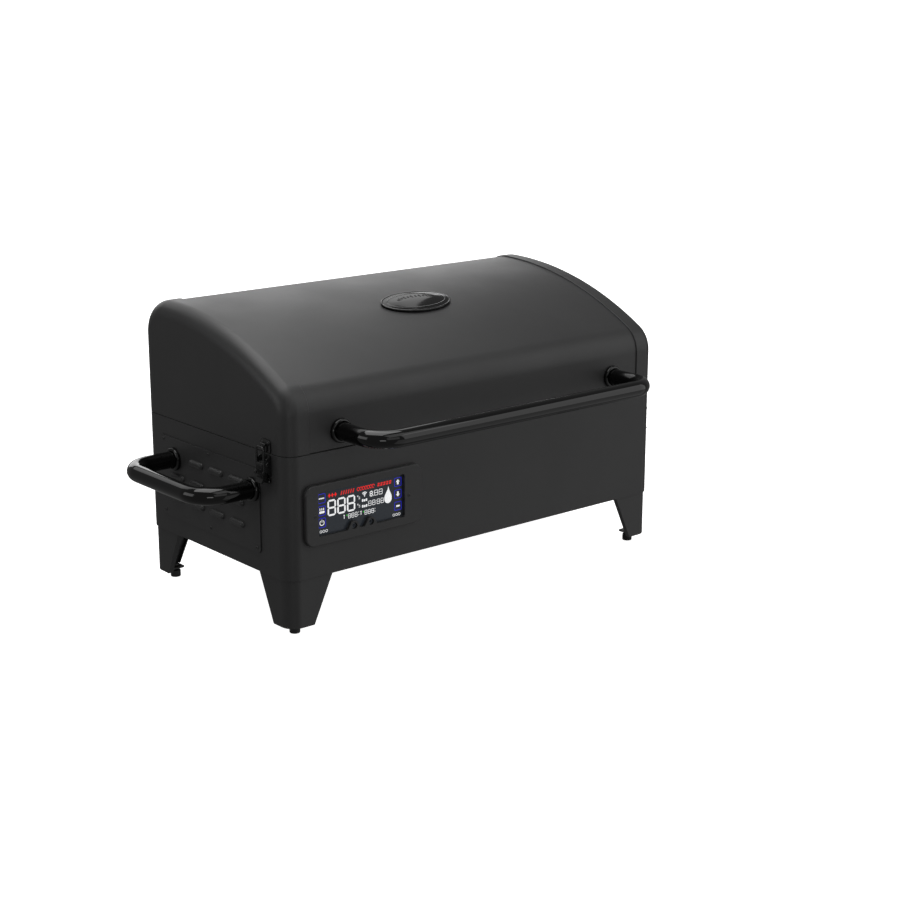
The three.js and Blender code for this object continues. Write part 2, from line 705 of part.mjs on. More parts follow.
function hingeLidLeaf() {
  const half = HINGE_W / 2;
  const middle = KNUCKLE_W / 2 - 0.2;
  const back = HALF_D - SKIN_INSET + GAP;
  const low = HINGE_Z + HINGE_R + 0.6;
  const plate = box(-half, half, back, back + 2, low, 262);
  const web = box(-middle, middle, back, HINGE_Y - 0.5, HINGE_Z + 1.4, low + 1);
  return geometryOf(cut(join(plate, web, knuckle(-middle, middle)), hingeBore()));
}

const hingePin = () =>
  bar('x', HINGE_PIN_R, -HINGE_W / 2 - 2, HINGE_W / 2 + 2, [HINGE_Y, HINGE_Z]);

// ---------------------------------------------------------------- hopper and pellet feed
const rectRing = ({ x0, x1, y0, y1 }, z, inset = 0) => [
  new THREE.Vector3(x0 + inset, y0 + inset, z),
  new THREE.Vector3(x1 - inset, y0 + inset, z),
  new THREE.Vector3(x1 - inset, y1 - inset, z),
  new THREE.Vector3(x0 + inset, y1 - inset, z),
];

const RIM = { x0: HOPPER.x0 - 8, x1: HOPPER.x1 + 6, y0: HOPPER.y0 - 8, y1: HOPPER.y1 + 8 };

function hopperBin() {
  const funnel = loft([
    rectRing(THROAT, HOPPER_LOW_Z),
    rectRing(HOPPER, HOPPER_KNEE_Z),
    rectRing(HOPPER, HOPPER_LIP_Z + SHEET),
  ]);
  const hollow = loft([
    rectRing(THROAT, HOPPER_LOW_Z - 4, SHEET),
    rectRing(THROAT, HOPPER_LOW_Z, SHEET),
    rectRing(HOPPER, HOPPER_KNEE_Z, SHEET),
    rectRing(HOPPER, HOPPER_LIP_Z + 10, SHEET),
  ]);
  const rim = box(RIM.x0, RIM.x1, RIM.y0, RIM.y1, HOPPER_LIP_Z, HOPPER_LIP_Z + SHEET);
  const { y, z } = HOPPER_HINGE;
  const ears = [RIM.x0, RIM.x1 - 3].map((x) => box(x, x + 3, y - 5, y + 6, HOPPER_LIP_Z + 1, z + 5));
  const bore = bar('x', boreR(HOPPER_PIN_R), RIM.x0 - 5, RIM.x1 + 5, [y, z]);
  return cut(join(funnel, rim, ...ears), hollow, bore);
}

function hopperLid() {
  const x0 = RIM.x0 + 3.6;
  const x1 = RIM.x1 - 3.6;
  const low = HOPPER_LIP_Z + SHEET + 0.5;
  const { y, z } = HOPPER_HINGE;
  const plate = box(x0, x1, RIM.y0, y - 1, low, low + SHEET);
  const web = box(x0, x1, y - 3.4, y - 1.4, low, z);
  const roll = bar('x', 4.2, x0, x1, [y, z]);
  const knobProfile = [[0, 1], [5, 1], [4, 8], [9, 12], [9, 17], [0, 17]];
  const knob = turned(knobProfile, 16).translate((x0 + x1) / 2, RIM.y0 + 18, low);
  const bore = bar('x', boreR(HOPPER_PIN_R), RIM.x0 - 5, RIM.x1 + 5, [y, z]);
  return cut(join(plate, web, roll, solid(knob)), bore);
}

const hopperPin = () =>
  bar('x', HOPPER_PIN_R, RIM.x0 - 1.5, RIM.x1 + 1.5, [HOPPER_HINGE.y, HOPPER_HINGE.z]);

function hopperGuard() {
  const edge = SHEET + 0.5;
  const { x0, x1, y0, y1 } = HOPPER;
  const low = GUARD.z;
  const plate = box(x0 + edge, x1 - edge, y0 + edge, y1 - edge, low, low + 2);
  const slots = [];
  for (let i = 0; i < GUARD.slots; i += 1) {
    const x = x0 + GUARD.first + i * GUARD.pitch;
    slots.push(box(x, x + GUARD.wide, y0 + 10, y1 - 10, low - 1, low + 3));
  }
  return cut(plate, ...slots);
}

const AUGER_RIGHT = POT_X - POT_R - 0.5;

function augerTube() {
  const centre = [AUGER_Y, AUGER_Z];
  const tube = bar('x', AUGER_TUBE_R, AUGER_LEFT, AUGER_RIGHT, centre, 24);
  const bore = bar('x', AUGER_BORE_R, AUGER_LEFT - 5, AUGER_RIGHT + 5, centre, 24);
  const mouth = box(THROAT.x0 + 2, THROAT.x1 - 2, AUGER_Y - 11, AUGER_Y + 11, AUGER_Z, AUGER_Z + 40);
  return cut(tube, bore, mouth);
}

// A screw: a core bar with one flat flight wound round it.
function augerScrew() {
  const from = AUGER_LEFT + 1;
  const to = AUGER_RIGHT - 2;
  const core = bar('x', AUGER_CORE_R, from, to, [AUGER_Y, AUGER_Z], 12);
  const perTurn = 9;
  const thick = 3;
  const turns = Math.floor((to - from - 12) / AUGER_PITCH);
  const rings = [];
  for (let i = 0; i <= turns * perTurn; i += 1) {
    const angle = (2 * Math.PI * i) / perTurn;
    const x = from + 6 + (AUGER_PITCH * i) / perTurn;
    const point = (r, dx) => new THREE.Vector3(
      x + dx, AUGER_Y + r * Math.cos(angle), AUGER_Z + r * Math.sin(angle),
    );
    rings.push([
      point(AUGER_CORE_R - 1.5, thick / 2),
      point(AUGER_FLIGHT_R, thick / 2),
      point(AUGER_FLIGHT_R, -thick / 2),
      point(AUGER_CORE_R - 1.5, -thick / 2),
    ]);
  }
  return core.add(loft(rings));
}

function augerMotor() {
  const { half, left, canR, canLeft } = MOTOR;
  const gearbox = box(
    left, AUGER_LEFT - GAP, AUGER_Y - half, AUGER_Y + half, AUGER_Z - half, AUGER_Z + half,
  );
  const can = bar('x', canR, canLeft, left + 1, [AUGER_Y, AUGER_Z], 20);
  return join(gearbox, can);
}

// ---------------------------------------------------------------- fan
function fanHousing() {
  const { x0, x1, y, z, half, bore, hub, axle } = FAN;
  const frame = box(x0, x1, y - half, y + half, z - half, z + half);
  const hole = bar('x', bore, x0 - 1, x1 + 1, [y, z], 24);
  const spokes = join(
    box(x1 - 3, x1, y - bore - 1, y + bore + 1, z - 3, z + 3),
    box(x1 - 3, x1, y - 3, y + 3, z - bore - 1, z + bore + 1),
    bar('x', hub - 1, x1 - 3, x1, [y, z], 16),
    bar('x', axle, x0 + 6, x1 - 1, [y, z]),
  );
  return join(cut(frame, hole), spokes);
}

function fanImpeller() {
  const { x0, x1, y, z, bore } = FAN;
  const from = x0 + 3;
  const to = x1 - 3.5;
  const hub = bar('x', FAN.hub, from, to, [y, z], 16);
  const root = 10;
  const tip = bore - 2;
  const twist = 0.9;
  const blades = [];
  for (let i = 0; i < FAN.blades; i += 1) {
    const blade = new THREE.BoxGeometry(1.6, 15, tip - root);
    blade.rotateZ(twist);
    blade.translate(0, 0, (tip + root) / 2);
    blade.rotateX((2 * Math.PI * i) / FAN.blades);
    blade.translate((from + to) / 2, y, z);
    blades.push(solid(blade));
  }
  return cut(join(hub, ...blades), bar('x', boreR(FAN.axle), x0, x1, [y, z]));
}

// ---------------------------------------------------------------- fire and trays
function firePot() {
  const low = FLOOR_TOP + GAP;
  const bowlR = POT_R - 2.5;
  const profile = [
    [0, low], [POT_R, low], [POT_R, POT_TOP], [bowlR, POT_TOP], [bowlR, low + 3], [0, low + 3],
  ];
  const cup = solid(turned(profile, 20).translate(POT_X, AUGER_Y, 0));
  const [from, to] = [POT_X - POT_R - 5, POT_X - 20];
  const feed = bar('x', 15, from, to, [AUGER_Y, AUGER_Z], 14);
  const igniter = bar('x', IGNITER_R + 2 * GAP, from, to, [AUGER_Y, IGNITER_Z], 10);
  const air = [0.4, 0.8, 1.2, 1.6, 2.4, 2.8].map((turn) => {
    const hole = new THREE.CylinderGeometry(3, 3, 20, 6);
    hole.rotateZ(Math.PI / 2).translate(POT_R, 0, 0).rotateZ((turn - 1.6) * Math.PI * 0.5);
    return solid(hole.translate(POT_X, AUGER_Y, 96));
  });
  return cut(cup, feed, igniter, ...air);
}

const igniterRod = () =>
  bar('x', IGNITER_R, PARTITION_X - 23.5, POT_X - POT_R + 14, [AUGER_Y, IGNITER_Z], 10);

function heatBaffle() {
  const low = FLOOR_TOP + GAP;
  const { x0, x1, y0, y1, eave, ridge } = BAFFLE;
  const t = SHEET;
  const sheet = polygon(
    [y0, low], [y0, eave], [AUGER_Y, ridge], [y1, eave], [y1, low],
    [y1 - t, low], [y1 - t, eave - t], [AUGER_Y, ridge - t], [y0 + t, eave - t], [y0 + t, low],
  );
  return prismYZ(sheet, x0, x1);
}

function dripTray() {
  const x0 = PARTITION_X + 8;
  const x1 = RACK_X1;
  const rim = TRAY_RAIL_Z + SHEET + GAP;
  const pan = (d) => {
    const top = rim + SHEET + d * 3;
    return polygon([x0 + d, top], [x0 + d, 163 + d], [x1 - d, 156 + d], [x1 - d, top]);
  };
  const side = HALF_D - RAIL_W - 2;
  const outside = prismXZ(pan(0), -side, side);
  const inside = prismXZ(pan(SHEET), -side + SHEET, side - SHEET);
  const rims = join(
    box(x0, x1, -RACK_EDGE, -side + 1, rim, rim + SHEET),
    box(x0, x1, side - 1, RACK_EDGE, rim, rim + SHEET),
  );
  const spout = bar('z', 9, 108, 158.5, [SPOUT_X, 0], 16);
  const drain = bar('z', 7.5, 100, 170, [SPOUT_X, 0], 16);
  return cut(join(cut(outside, inside), rims, spout), drain);
}

function cookingGrate() {
  const x0 = PARTITION_X + 9;
  const x1 = RACK_X1;
  const edge = RACK_EDGE;
  const low = GRATE_RAIL_Z + SHEET + GAP;
  const top = low + GRATE_TALL;
  const frame = box(x0, x1, -edge, edge, low, top);
  const pitch = (x1 - x0 - 8) / GRATE_BARS;
  const slots = [];
  for (let i = 0; i < GRATE_BARS; i += 1) {
    const left = x0 + 6 + i * pitch;
    const right = left + pitch - GRATE_GAP;
    slots.push(box(left, right, -edge + 10, -3, low - 1, top + 1));
    slots.push(box(left, right, 3, edge - 10, low - 1, top + 1));
  }
  return cut(frame, ...slots);
}

function greaseDrawer() {
  const { x0, x1, y, z0, z1 } = DRAWER;
  const tray = cut(
    box(x0, x1 + 4, -y, y, z0, z1),
    box(x0 + 2, x1 - 1, -y + 2, y - 2, z0 + 2, z1 + 2),
  );
  const face = box(HALF_W + GAP, HALF_W + 2, -y - 5, y + 5, z0 - 1, z1 + 5);
  const pull = box(HALF_W + 1.5, HALF_W + 14, -22, 22, z1 - 2, z1);
  return join(tray, face, pull);
}

function temperatureProbe() {
  const centre = [PROBE.y, PROBE.z];
  const face = PARTITION_X + SHEET + GAP;
  return join(bar('x', 9, face, face + 3, centre, 16), bar('x', 3, face, PROBE.tip, centre, 12));
}

// ---------------------------------------------------------------- rear fittings
function exhaustHood() {
  const back = HALF_D + GAP;
  const out = HALF_D + HOOD.proud;
  const inside = out - SHEET;
  const { low, top } = HOOD;
  const eave = top - HOOD.fall;
  const roof = polygon(
    [back, top], [out, eave], [out, low], [inside, low], [inside, eave - 1.1], [back, top - SHEET],
  );
  const cheek = polygon([back, top], [out, eave], [out, low], [back, low]);
  const x0 = EXHAUST.x0 - 12;
  const x1 = EXHAUST.x0 + EXHAUST.slots * EXHAUST.pitch;
  return join(
    prismYZ(roof, x0, x1),
    prismYZ(cheek, x0 - 1, x0 + 0.5),
    prismYZ(cheek, x1 - 0.5, x1 + 1),
  );
}

function powerInlet() {
  const { x, z } = INLET;
  const flange = roundedRect(x - 25, x + 25, z - 15, z + 15, 4);
  const back = HALF_D + GAP;
  const plate = prismXZ(flange, back, back + 2.2, 2);
  const can = box(x - 15, x + 15, 140, back + 1, z - 10.5, z + 10.5);
  const socket = box(x - 12.5, x + 12.5, 145, back + 5, z - 8.5, z + 8.5);
  const pins = [[-7, -2], [0, 3], [7, -2]].map(([dx, dz]) =>
    box(x + dx - 1, x + dx + 1, 144, 157, z + dz - 2, z + dz + 2),
  );
  return join(cut(join(plate, can), socket), ...pins);
}

// ---------------------------------------------------------------- assembly
add('body_shell', bodyShell(), BLACK_COAT);
add('body_floor', bodyFloor(), BLACK_COAT);
add('partition_wall', partitionWall(), BLACK_COAT);
add('hopper_deck', hopperDeck(), BLACK_COAT);
add('left_access_panel', accessPanel(), BLACK_COAT);

const legShape = leg();
const footShape = levellingFoot();
for (const [corner, sx, sy] of CORNERS) {
  add('leg_' + corner, legShape, BLACK_COAT).scale.set(sx, sy, 1);
  add('levelling_foot_' + corner, footShape, PLASTIC).scale.set(sx, sy, 1);
}

add('lid_skin', lidSkin(), BLACK_COAT);
const capShape = lidCap();
add('lid_cap_right', capShape, BLACK_COAT);
add('lid_cap_left', capShape, BLACK_COAT).scale.x = -1;

const emblemMesh = add('lid_emblem', emblem(), GLOSS_BLACK);
const emblemTurn = EMBLEM_ARC / LID_TOP_R;
const skinR = LID_TOP_R - SKIN_INSET;
emblemMesh.position.set(
  0, LID_TOP_Y + skinR * Math.sin(emblemTurn), LID_TOP_Z + skinR * Math.cos(emblemTurn),
);
emblemMesh.rotation.x = -emblemTurn;

const lidFace = -HALF_D + SKIN_INSET - GAP;
const frontReach = LID_HANDLE_REACH + SKIN_INSET - GAP;
const frontTube = handleTube(LID_HANDLE_HALF, frontReach, LID_HANDLE_BEND, 28);
const lidHandle = add('lid_handle', frontTube, GLOSS_BLACK);
lidHandle.rotation.z = Math.PI;
lidHandle.position.set(0, lidFace, LID_HANDLE_Z);

const sideFace = -HALF_W - 2 * GAP - CAP_SHEET;
const sideReach = SIDE_HANDLE_REACH - 2 * GAP - CAP_SHEET;
const sideTube = handleTube(SIDE_HANDLE_HALF, sideReach, SIDE_HANDLE_BEND, 18);
const sideHandle = add('side_handle', sideTube, GLOSS_BLACK);
sideHandle.rotation.z = Math.PI / 2;
sideHandle.position.set(sideFace, 0, SIDE_HANDLE_Z);

const flangeShape = handleFlange();
for (const [end, side] of [['left', -1], ['right', 1]]) {
  const flange = add('lid_handle_flange_' + end, flangeShape, GLOSS_BLACK);
  flange.rotation.x = Math.PI / 2;
  flange.position.set(side * LID_HANDLE_HALF, lidFace, LID_HANDLE_Z);
}
for (const [end, side] of [['front', -1], ['rear', 1]]) {
  const flange = add('side_handle_flange_' + end, flangeShape, GLOSS_BLACK);
  flange.rotation.y = -Math.PI / 2;
  flange.position.set(sideFace, side * SIDE_HANDLE_HALF, SIDE_HANDLE_Z);
}

add('control_bezel', controlBezel(), BLACK_COAT);
add('display_glass', displayGlass(), GLASS);
add('control_board', controlBoard(), BOARD);
JACK_X.forEach((x, i) => add('probe_jack_' + (i + 1), probeJack(x), PLASTIC));

const latchShapes = { base: latchBase(), lever: latchLever(), bail: latchBail(), keeper: latchKeeper() };
for (const [end, side] of [['left', -1], ['right', 1]]) {
  for (const [piece, shape] of Object.entries(latchShapes)) {
    add('latch_' + piece + '_' + end, shape, GLOSS_BLACK).scale.x = side;
  }
}

const hingeShapes = {
  hinge_body_leaf: hingeBodyLeaf(),
  hinge_lid_leaf: hingeLidLeaf(),
  hinge_pin: geometryOf(hingePin()),
};
for (const [end, side] of [['left', -1], ['right', 1]]) {
  for (const [piece, shape] of Object.entries(hingeShapes)) {
    add(piece + '_' + end, shape, GLOSS_BLACK).position.x = side * HINGE_X;
  }
}

add('hopper_bin', hopperBin(), PLAIN_STEEL);
add('hopper_lid', hopperLid(), BLACK_COAT);
add('hopper_hinge_pin', hopperPin(), PLAIN_STEEL);
add('hopper_guard', hopperGuard(), PLAIN_STEEL);
add('auger_tube', augerTube(), PLAIN_STEEL);
add('auger_screw', augerScrew(), PLAIN_STEEL);
add('auger_motor', augerMotor(), PLAIN_STEEL);
add('fan_housing', fanHousing(), PLASTIC);
add('fan_impeller', fanImpeller(), PLASTIC);
add('fire_pot', firePot(), PLAIN_STEEL);
add('igniter_rod', igniterRod(), PLAIN_STEEL);
add('heat_baffle', heatBaffle(), PLAIN_STEEL);
add('drip_tray', dripTray(), ENAMEL);
add('cooking_grate', cookingGrate(), ENAMEL);
add('grease_drawer', greaseDrawer(), BLACK_COAT);
add('temperature_probe', temperatureProbe(), PLAIN_STEEL);
add('exhaust_hood', exhaustHood(), BLACK_COAT);
add('power_inlet', powerInlet(), PLASTIC);

// The origin is the middle of the whole object's base.
const bounds = new THREE.Box3().setFromObject(grill);
const middle = bounds.getCenter(new THREE.Vector3());
grill.position.set(-middle.x, -middle.y, -bounds.min.z);

export default grill;
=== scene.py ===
"""A portable pellet smoker grill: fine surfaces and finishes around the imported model.

Every size is in millimetres about the middle of the body's footprint, with +X to the right-hand end,
-Y to the front and +Z up. Solid.mesh() turns millimetres into the frame's metres.
"""
import json
import math

import bmesh
import bpy
from mathutils import Matrix, Vector


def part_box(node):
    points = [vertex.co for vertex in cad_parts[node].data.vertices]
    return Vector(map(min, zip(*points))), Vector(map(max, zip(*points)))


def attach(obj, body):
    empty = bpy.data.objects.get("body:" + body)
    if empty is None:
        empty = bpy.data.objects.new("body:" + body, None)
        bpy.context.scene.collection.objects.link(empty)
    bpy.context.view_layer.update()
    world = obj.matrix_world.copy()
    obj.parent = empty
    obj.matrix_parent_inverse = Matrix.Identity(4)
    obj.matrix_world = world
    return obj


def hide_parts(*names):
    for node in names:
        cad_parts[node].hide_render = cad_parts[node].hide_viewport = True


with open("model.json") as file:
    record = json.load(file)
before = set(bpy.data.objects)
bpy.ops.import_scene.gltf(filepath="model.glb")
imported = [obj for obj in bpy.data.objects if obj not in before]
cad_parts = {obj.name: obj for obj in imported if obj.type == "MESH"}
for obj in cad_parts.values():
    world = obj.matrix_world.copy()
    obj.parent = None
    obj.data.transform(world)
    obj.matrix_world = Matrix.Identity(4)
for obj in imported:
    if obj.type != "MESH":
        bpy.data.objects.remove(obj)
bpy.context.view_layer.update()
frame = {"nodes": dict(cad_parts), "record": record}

# ---- driving dimensions
MM = 0.001
body_low, body_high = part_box("body_shell")
ORIGIN = Vector(((body_low.x + body_high.x) / 2, (body_low.y + body_high.y) / 2, 0))
HALF_W = (body_high.x - body_low.x) / 2 / MM
HALF_D = (body_high.y - body_low.y) / 2 / MM
BODY_LOW = body_low.z / MM
BODY_TOP = body_high.z / MM


def span(node):
    """(x0, x1, y0, y1, z0, z1) of a CAD node, in millimetres about the footprint's middle."""
    low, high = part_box(node)
    a, b = (low - ORIGIN) / MM, (high - ORIGIN) / MM
    return a.x, b.x, a.y, b.y, a.z, b.z


GAP = 0.3
SHEET = 1.5
CORNER_R = 20
FLANGE = 12
BODY_SOFT = 0.7
RAIL_INSET = 0.8

LID_LOW = span("lid_cap_right")[4]
LID_FRONT_R = 40.6
LID_TOP_R = 512
LID_TOP_Y = 113.4
LID_TOP_Z = -134.1
LID_REAR_R = 45.8
CAP_SHEET = 1.2
CAP_RIM = 34.8
SKIN_INSET = CAP_SHEET + GAP

LEG_LOW = 11.6
LEG_TOP = BODY_LOW - GAP
LEG_INSET = SHEET + GAP
LEG_SHEET = 2
LEG_WIDE = 66
LEG_NARROW = 38
LEG_HEM = 7
PLATE_LOW = 12.6
PLATE_REACH = 9.5
PLATE_R = 16
BRACKET_REACH = 55
FOOT_INSET = 22

TUBE_R = 11
TUBE_SIDES = 40
LID_HANDLE = {"half": 229, "z": 249.9, "reach": 73.5, "bend": 32}
SIDE_HANDLE = {"half": 89.5, "z": 176.5, "reach": 73.5, "bend": 34}
COLLAR_R = 15.2
COLLAR_DEEP = 5
COLLAR_SOFT = 2.6

EMBLEM_LONG = 55
EMBLEM_SHORT = 28.5
EMBLEM_ARC = -134.6
EMBLEM_FIELD = 3.0
EMBLEM_CROWN = 1.9
EMBLEM_LINE = 8.2
FLUTES = 11

BEZEL = {"x0": -287, "x1": -109, "z0": 113.5, "z1": 190, "r": 12}
WINDOW = {"x0": -268.6, "x1": -136.8, "z0": 124.9, "z1": 180.3, "r": 2.5}
BEZEL_FRONT = -HALF_D - 6
GLASS_FRONT = span("display_glass")[2]
JACK_X = (-215.3, -189.5)
JACK_Z = 128.9
JACK_R = 4
JACK_TAB_R = 6.3

PANEL = {"y0": -103.3, "y1": 125, "z0": 97, "z1": 204, "r": 6}
LOUVRE_Y = (-54, -8.5, 37, 83)
LOUVRE_Z = (125.5, 153, 180)
LOUVRE_R = 4.5
LOUVRE_LONG = 31
NO_LOUVRE = (LOUVRE_Y[3], LOUVRE_Z[2])

LATCH_Y = -119
LATCH_HALF = 10
LATCH_PIVOT = (315.2, 216)
LATCH_BAIL = (318.8, 205)
LATCH_TIP = HALF_W + 13
WIRE_R = 1.35
BAIL_HALF = 7.3
BAIL_TOP = 236.8

HINGE_X = 200
HINGE_Y = HALF_D + 6
HINGE_Z = 228.3
HINGE_W = 50
HINGE_R = 4.5

CORNERS = {
    "front_left": (-1, -1), "front_right": (1, -1), "rear_left": (-1, 1), "rear_right": (1, 1),
}
ENDS = {"left": -1, "right": 1}


# ---- outlines
def arc(u, v, r, start, end, steps):
    """Points on a circle about (u, v), from one angle to another, in degrees."""
    turns = [math.radians(start + (end - start) * i / steps) for i in range(steps + 1)]
    return [(u + r * math.cos(a), v + r * math.sin(a)) for a in turns]


def circle(u, v, r, sides):
    return arc(u, v, r, 0, 360, sides)[:-1]


def rounded(u0, u1, v0, v1, r, steps=8):
    return (
        arc(u1 - r, v1 - r, r, 0, 90, steps)
        + arc(u0 + r, v1 - r, r, 90, 180, steps)
        + arc(u0 + r, v0 + r, r, 180, 270, steps)
        + arc(u1 - r, v0 + r, r, 270, 360, steps)
    )


def lift(axis, u, v, w):
    """A point with (u, v) in the plane across an axis and w along it."""
    if axis == "x":
        return Vector((w, u, v))
    if axis == "y":
        return Vector((u, w, v))
    return Vector((u, v, w))


# ---- solids
class Solid:
    """Closed shells in millimetres, gathered for one mesh."""

    def __init__(self):
        self.points = []
        self.faces = []

    def loft(self, rings, closed=False):
        """Rings of equally many points, joined in turn: capped, or the last joined to the first."""
        start = len(self.points)
        count = len(rings[0])
        for ring in rings:
            self.points.extend(Vector(p) for p in ring)
        spans = len(rings) if closed else len(rings) - 1
        for i in range(spans):
            here = start + i * count
            there = start + (i + 1) % len(rings) * count
            for j in range(count):
                k = (j + 1) % count
                self.faces.append((here + j, here + k, there + k, there + j))
        if not closed:
            last = start + (len(rings) - 1) * count
            self.faces.append(tuple(range(start + count - 1, start - 1, -1)))
            self.faces.append(tuple(range(last, last + count)))
        return self

    def prism(self, outline, axis, low, high):
        return self.loft([[lift(axis, u, v, w) for u, v in outline] for w in (low, high)])

    def box(self, x0, x1, y0, y1, z0, z1):
        return self.prism([(x0, y0), (x1, y0), (x1, y1), (x0, y1)], "z", z0, z1)

    def turned(self, profile, axis, u, v, base=0, sign=1, sides=32):
        """A profile of (radius, height) turned about an axis through (u, v)."""
        return self.loft([
            [lift(axis, a, b, base + sign * height) for a, b in circle(u, v, radius, sides)]
            for radius, height in profile
        ])

    def ring(self, profile, axis, u, v, base=0, sign=1, sides=40):
        """A closed profile of (radius, height) turned about an axis, with a hole through it."""
        rows = [
            [lift(axis, a, b, base + sign * height) for a, b in circle(u, v, radius, sides)]
            for radius, height in profile
        ]
        return self.loft(rows, closed=True)

    def tube(self, path, r, sides=32, up=Vector((0, 0, 1))):
        """A round bar along a path that keeps to the plane across up."""
        rings = []
        for i, point in enumerate(path):
            along = (path[min(i + 1, len(path) - 1)] - path[max(i - 1, 0)]).normalized()
            side = along.cross(up).normalized()
            rings.append([point + side * a + up * b for a, b in circle(0, 0, r, sides)])
        return self.loft(rings)

    def add(self, other, matrix=None):
        """Takes in another solid's shells, moved by a matrix."""
        start = len(self.points)
        self.points.extend(matrix @ p if matrix else p.copy() for p in other.points)
        self.faces.extend(tuple(start + i for i in face) for face in other.faces)
        return self

    def scaled(self, x=1, y=1, z=1):
        return Solid().add(self, Matrix.Diagonal((x, y, z, 1)))

    def mesh(self, name):
        mesh = bpy.data.meshes.new(name)
        mesh.from_pydata([ORIGIN + p * MM for p in self.points], [], self.faces)
        work = bmesh.new()
        work.from_mesh(mesh)
        bmesh.ops.remove_doubles(work, verts=work.verts, dist=1e-7)
        bmesh.ops.recalc_face_normals(work, faces=work.faces)
        work.to_mesh(mesh)
        work.free()
        return mesh


def linked(name, data):
    item = bpy.data.objects.new(name, data)
    bpy.context.scene.collection.objects.link(item)
    return item


def settle(item):
    """Applies an object's modifiers to its mesh."""
    bpy.context.view_layer.update()
    shaped = item.evaluated_get(bpy.context.evaluated_depsgraph_get())
    mesh = bpy.data.meshes.new_from_object(shaped)
    item.modifiers.clear()
    old = item.data
    item.data = mesh
    bpy.data.meshes.remove(old)


def bevel_edges(item, width, angle):
    """A bevel on the edges sharper than an angle in degrees; the width is in millimetres."""
    bevel = item.modifiers.new("edges", "BEVEL")
    bevel.width = width * MM
    bevel.segments = 2
    bevel.limit_method = "ANGLE"
    bevel.angle_limit = math.radians(angle)


def carved(item, cutter):
    """Cuts a solid out of an object."""
    tool = linked("cutter", cutter.mesh("cutter"))
    boolean = item.modifiers.new("cut", "BOOLEAN")
    boolean.operation = "DIFFERENCE"
    boolean.solver = "EXACT"
    boolean.object = tool
    settle(item)
    bpy.data.objects.remove(tool)


def piece(name, solid, finish, body, nodes=(), bevel=0.4, cut=None, edge=0, plus=None,
          sharp=38):
    """Builds one piece: bevel, cut, second bevel on the cut's edges, then shells that aren't cut.
    """
    item = linked(name, solid.mesh(name))
    if bevel:
        bevel_edges(item, bevel, 30)
        settle(item)
    if cut:
        carved(item, cut)
    if edge:
        bevel_edges(item, edge, 30)
        settle(item)
    if plus:
        extra = linked("extra", plus.mesh("extra"))
        work = bmesh.new()
        work.from_mesh(item.data)
        work.from_mesh(extra.data)
        work.to_mesh(item.data)
        work.free()
        bpy.data.objects.remove(extra)
    item.data.polygons.foreach_set("use_smooth", [True] * len(item.data.polygons))
    item.data.set_sharp_from_angle(angle=math.radians(sharp))
    weighted = item.modifiers.new("normals", "WEIGHTED_NORMAL")
    weighted.keep_sharp = True
    item.data.materials.clear()
    item.data.materials.append(finish)
    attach(item, body)
    if nodes:
        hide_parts(*nodes)


# ---- finishes
class Nodes:
    """A short way to write a material's node tree."""

    def __init__(self, name):
        self.material = bpy.data.materials.new(name)
        self.material.use_nodes = True
        self.tree = self.material.node_tree
        self.shader = self.tree.nodes["Principled BSDF"]
        self.where = self.tree.nodes.new("ShaderNodeTexCoord").outputs["Object"]

    def link(self, source, target):
        self.tree.links.new(source, target)

    def fill(self, node, values):
        for key, value in values.items():
            node.inputs[key.replace("_", " ")].default_value = value
        return node

    def new(self, kind, **values):
        return self.fill(self.tree.nodes.new("ShaderNode" + kind), values)

    def shade(self, **values):
        self.fill(self.shader, values)

    def stretched(self, x, y, z):
        node = self.new("Mapping", Scale=(x, y, z))
        self.link(self.where, node.inputs["Vector"])
        return node.outputs["Vector"]

    def noise(self, scale, detail=3, where=None):
        node = self.new("TexNoise", Scale=scale, Detail=detail)
        self.link(where or self.where, node.inputs["Vector"])
        return node.outputs["Fac"]

    def ramp(self, source, low, high, low_at=0.35, high_at=0.65):
        """A blend from a low to a high value, each a grey level or a colour."""
        node = self.new("ValToRGB")
        for stop, value, at in zip(node.color_ramp.elements, (low, high), (low_at, high_at)):
            stop.position = at
            stop.color = (*value, 1) if isinstance(value, tuple) else (value, value, value, 1)
        self.link(source, node.inputs["Fac"])
        return node.outputs["Color"]

    def mixed(self, share, first, second):
        """Two colours mixed: the RGBA sockets of a Mix node are inputs 6 and 7 and output 2."""
        node = self.new("Mix")
        node.data_type = "RGBA"
        for source, socket in ((share, 0), (first, 6), (second, 7)):
            self.link(source, node.inputs[socket])
        return node.outputs[2]

    def colour(self, source):
        self.link(source, self.shader.inputs["Base Color"])

    def rough(self, source):
        self.link(source, self.shader.inputs["Roughness"])

    def bump(self, height, deep, strength):
        node = self.new("Bump", Strength=strength, Distance=deep * MM)
        self.link(height, node.inputs["Height"])
        self.link(node.outputs["Normal"], self.shader.inputs["Normal"])


def coat(name, dark, light, rough_low, rough_high):
    """Powder coat: a fine even grain, slow drifts of tone and faint handling marks."""
    n = Nodes(name)
    n.shade(Specular_IOR_Level=0.45)
    drift = n.ramp(n.noise(7, 4), dark, light)
    speck = n.ramp(n.noise(2600, 1), dark, light, 0.55, 0.75)
    n.colour(n.mixed(n.ramp(n.noise(40, 2), 0.1, 0.4), drift, speck))
    n.rough(n.ramp(n.noise(11, 5), rough_low, rough_high))
    n.bump(n.noise(1500, 2), 0.02, 0.35)
    return n.material


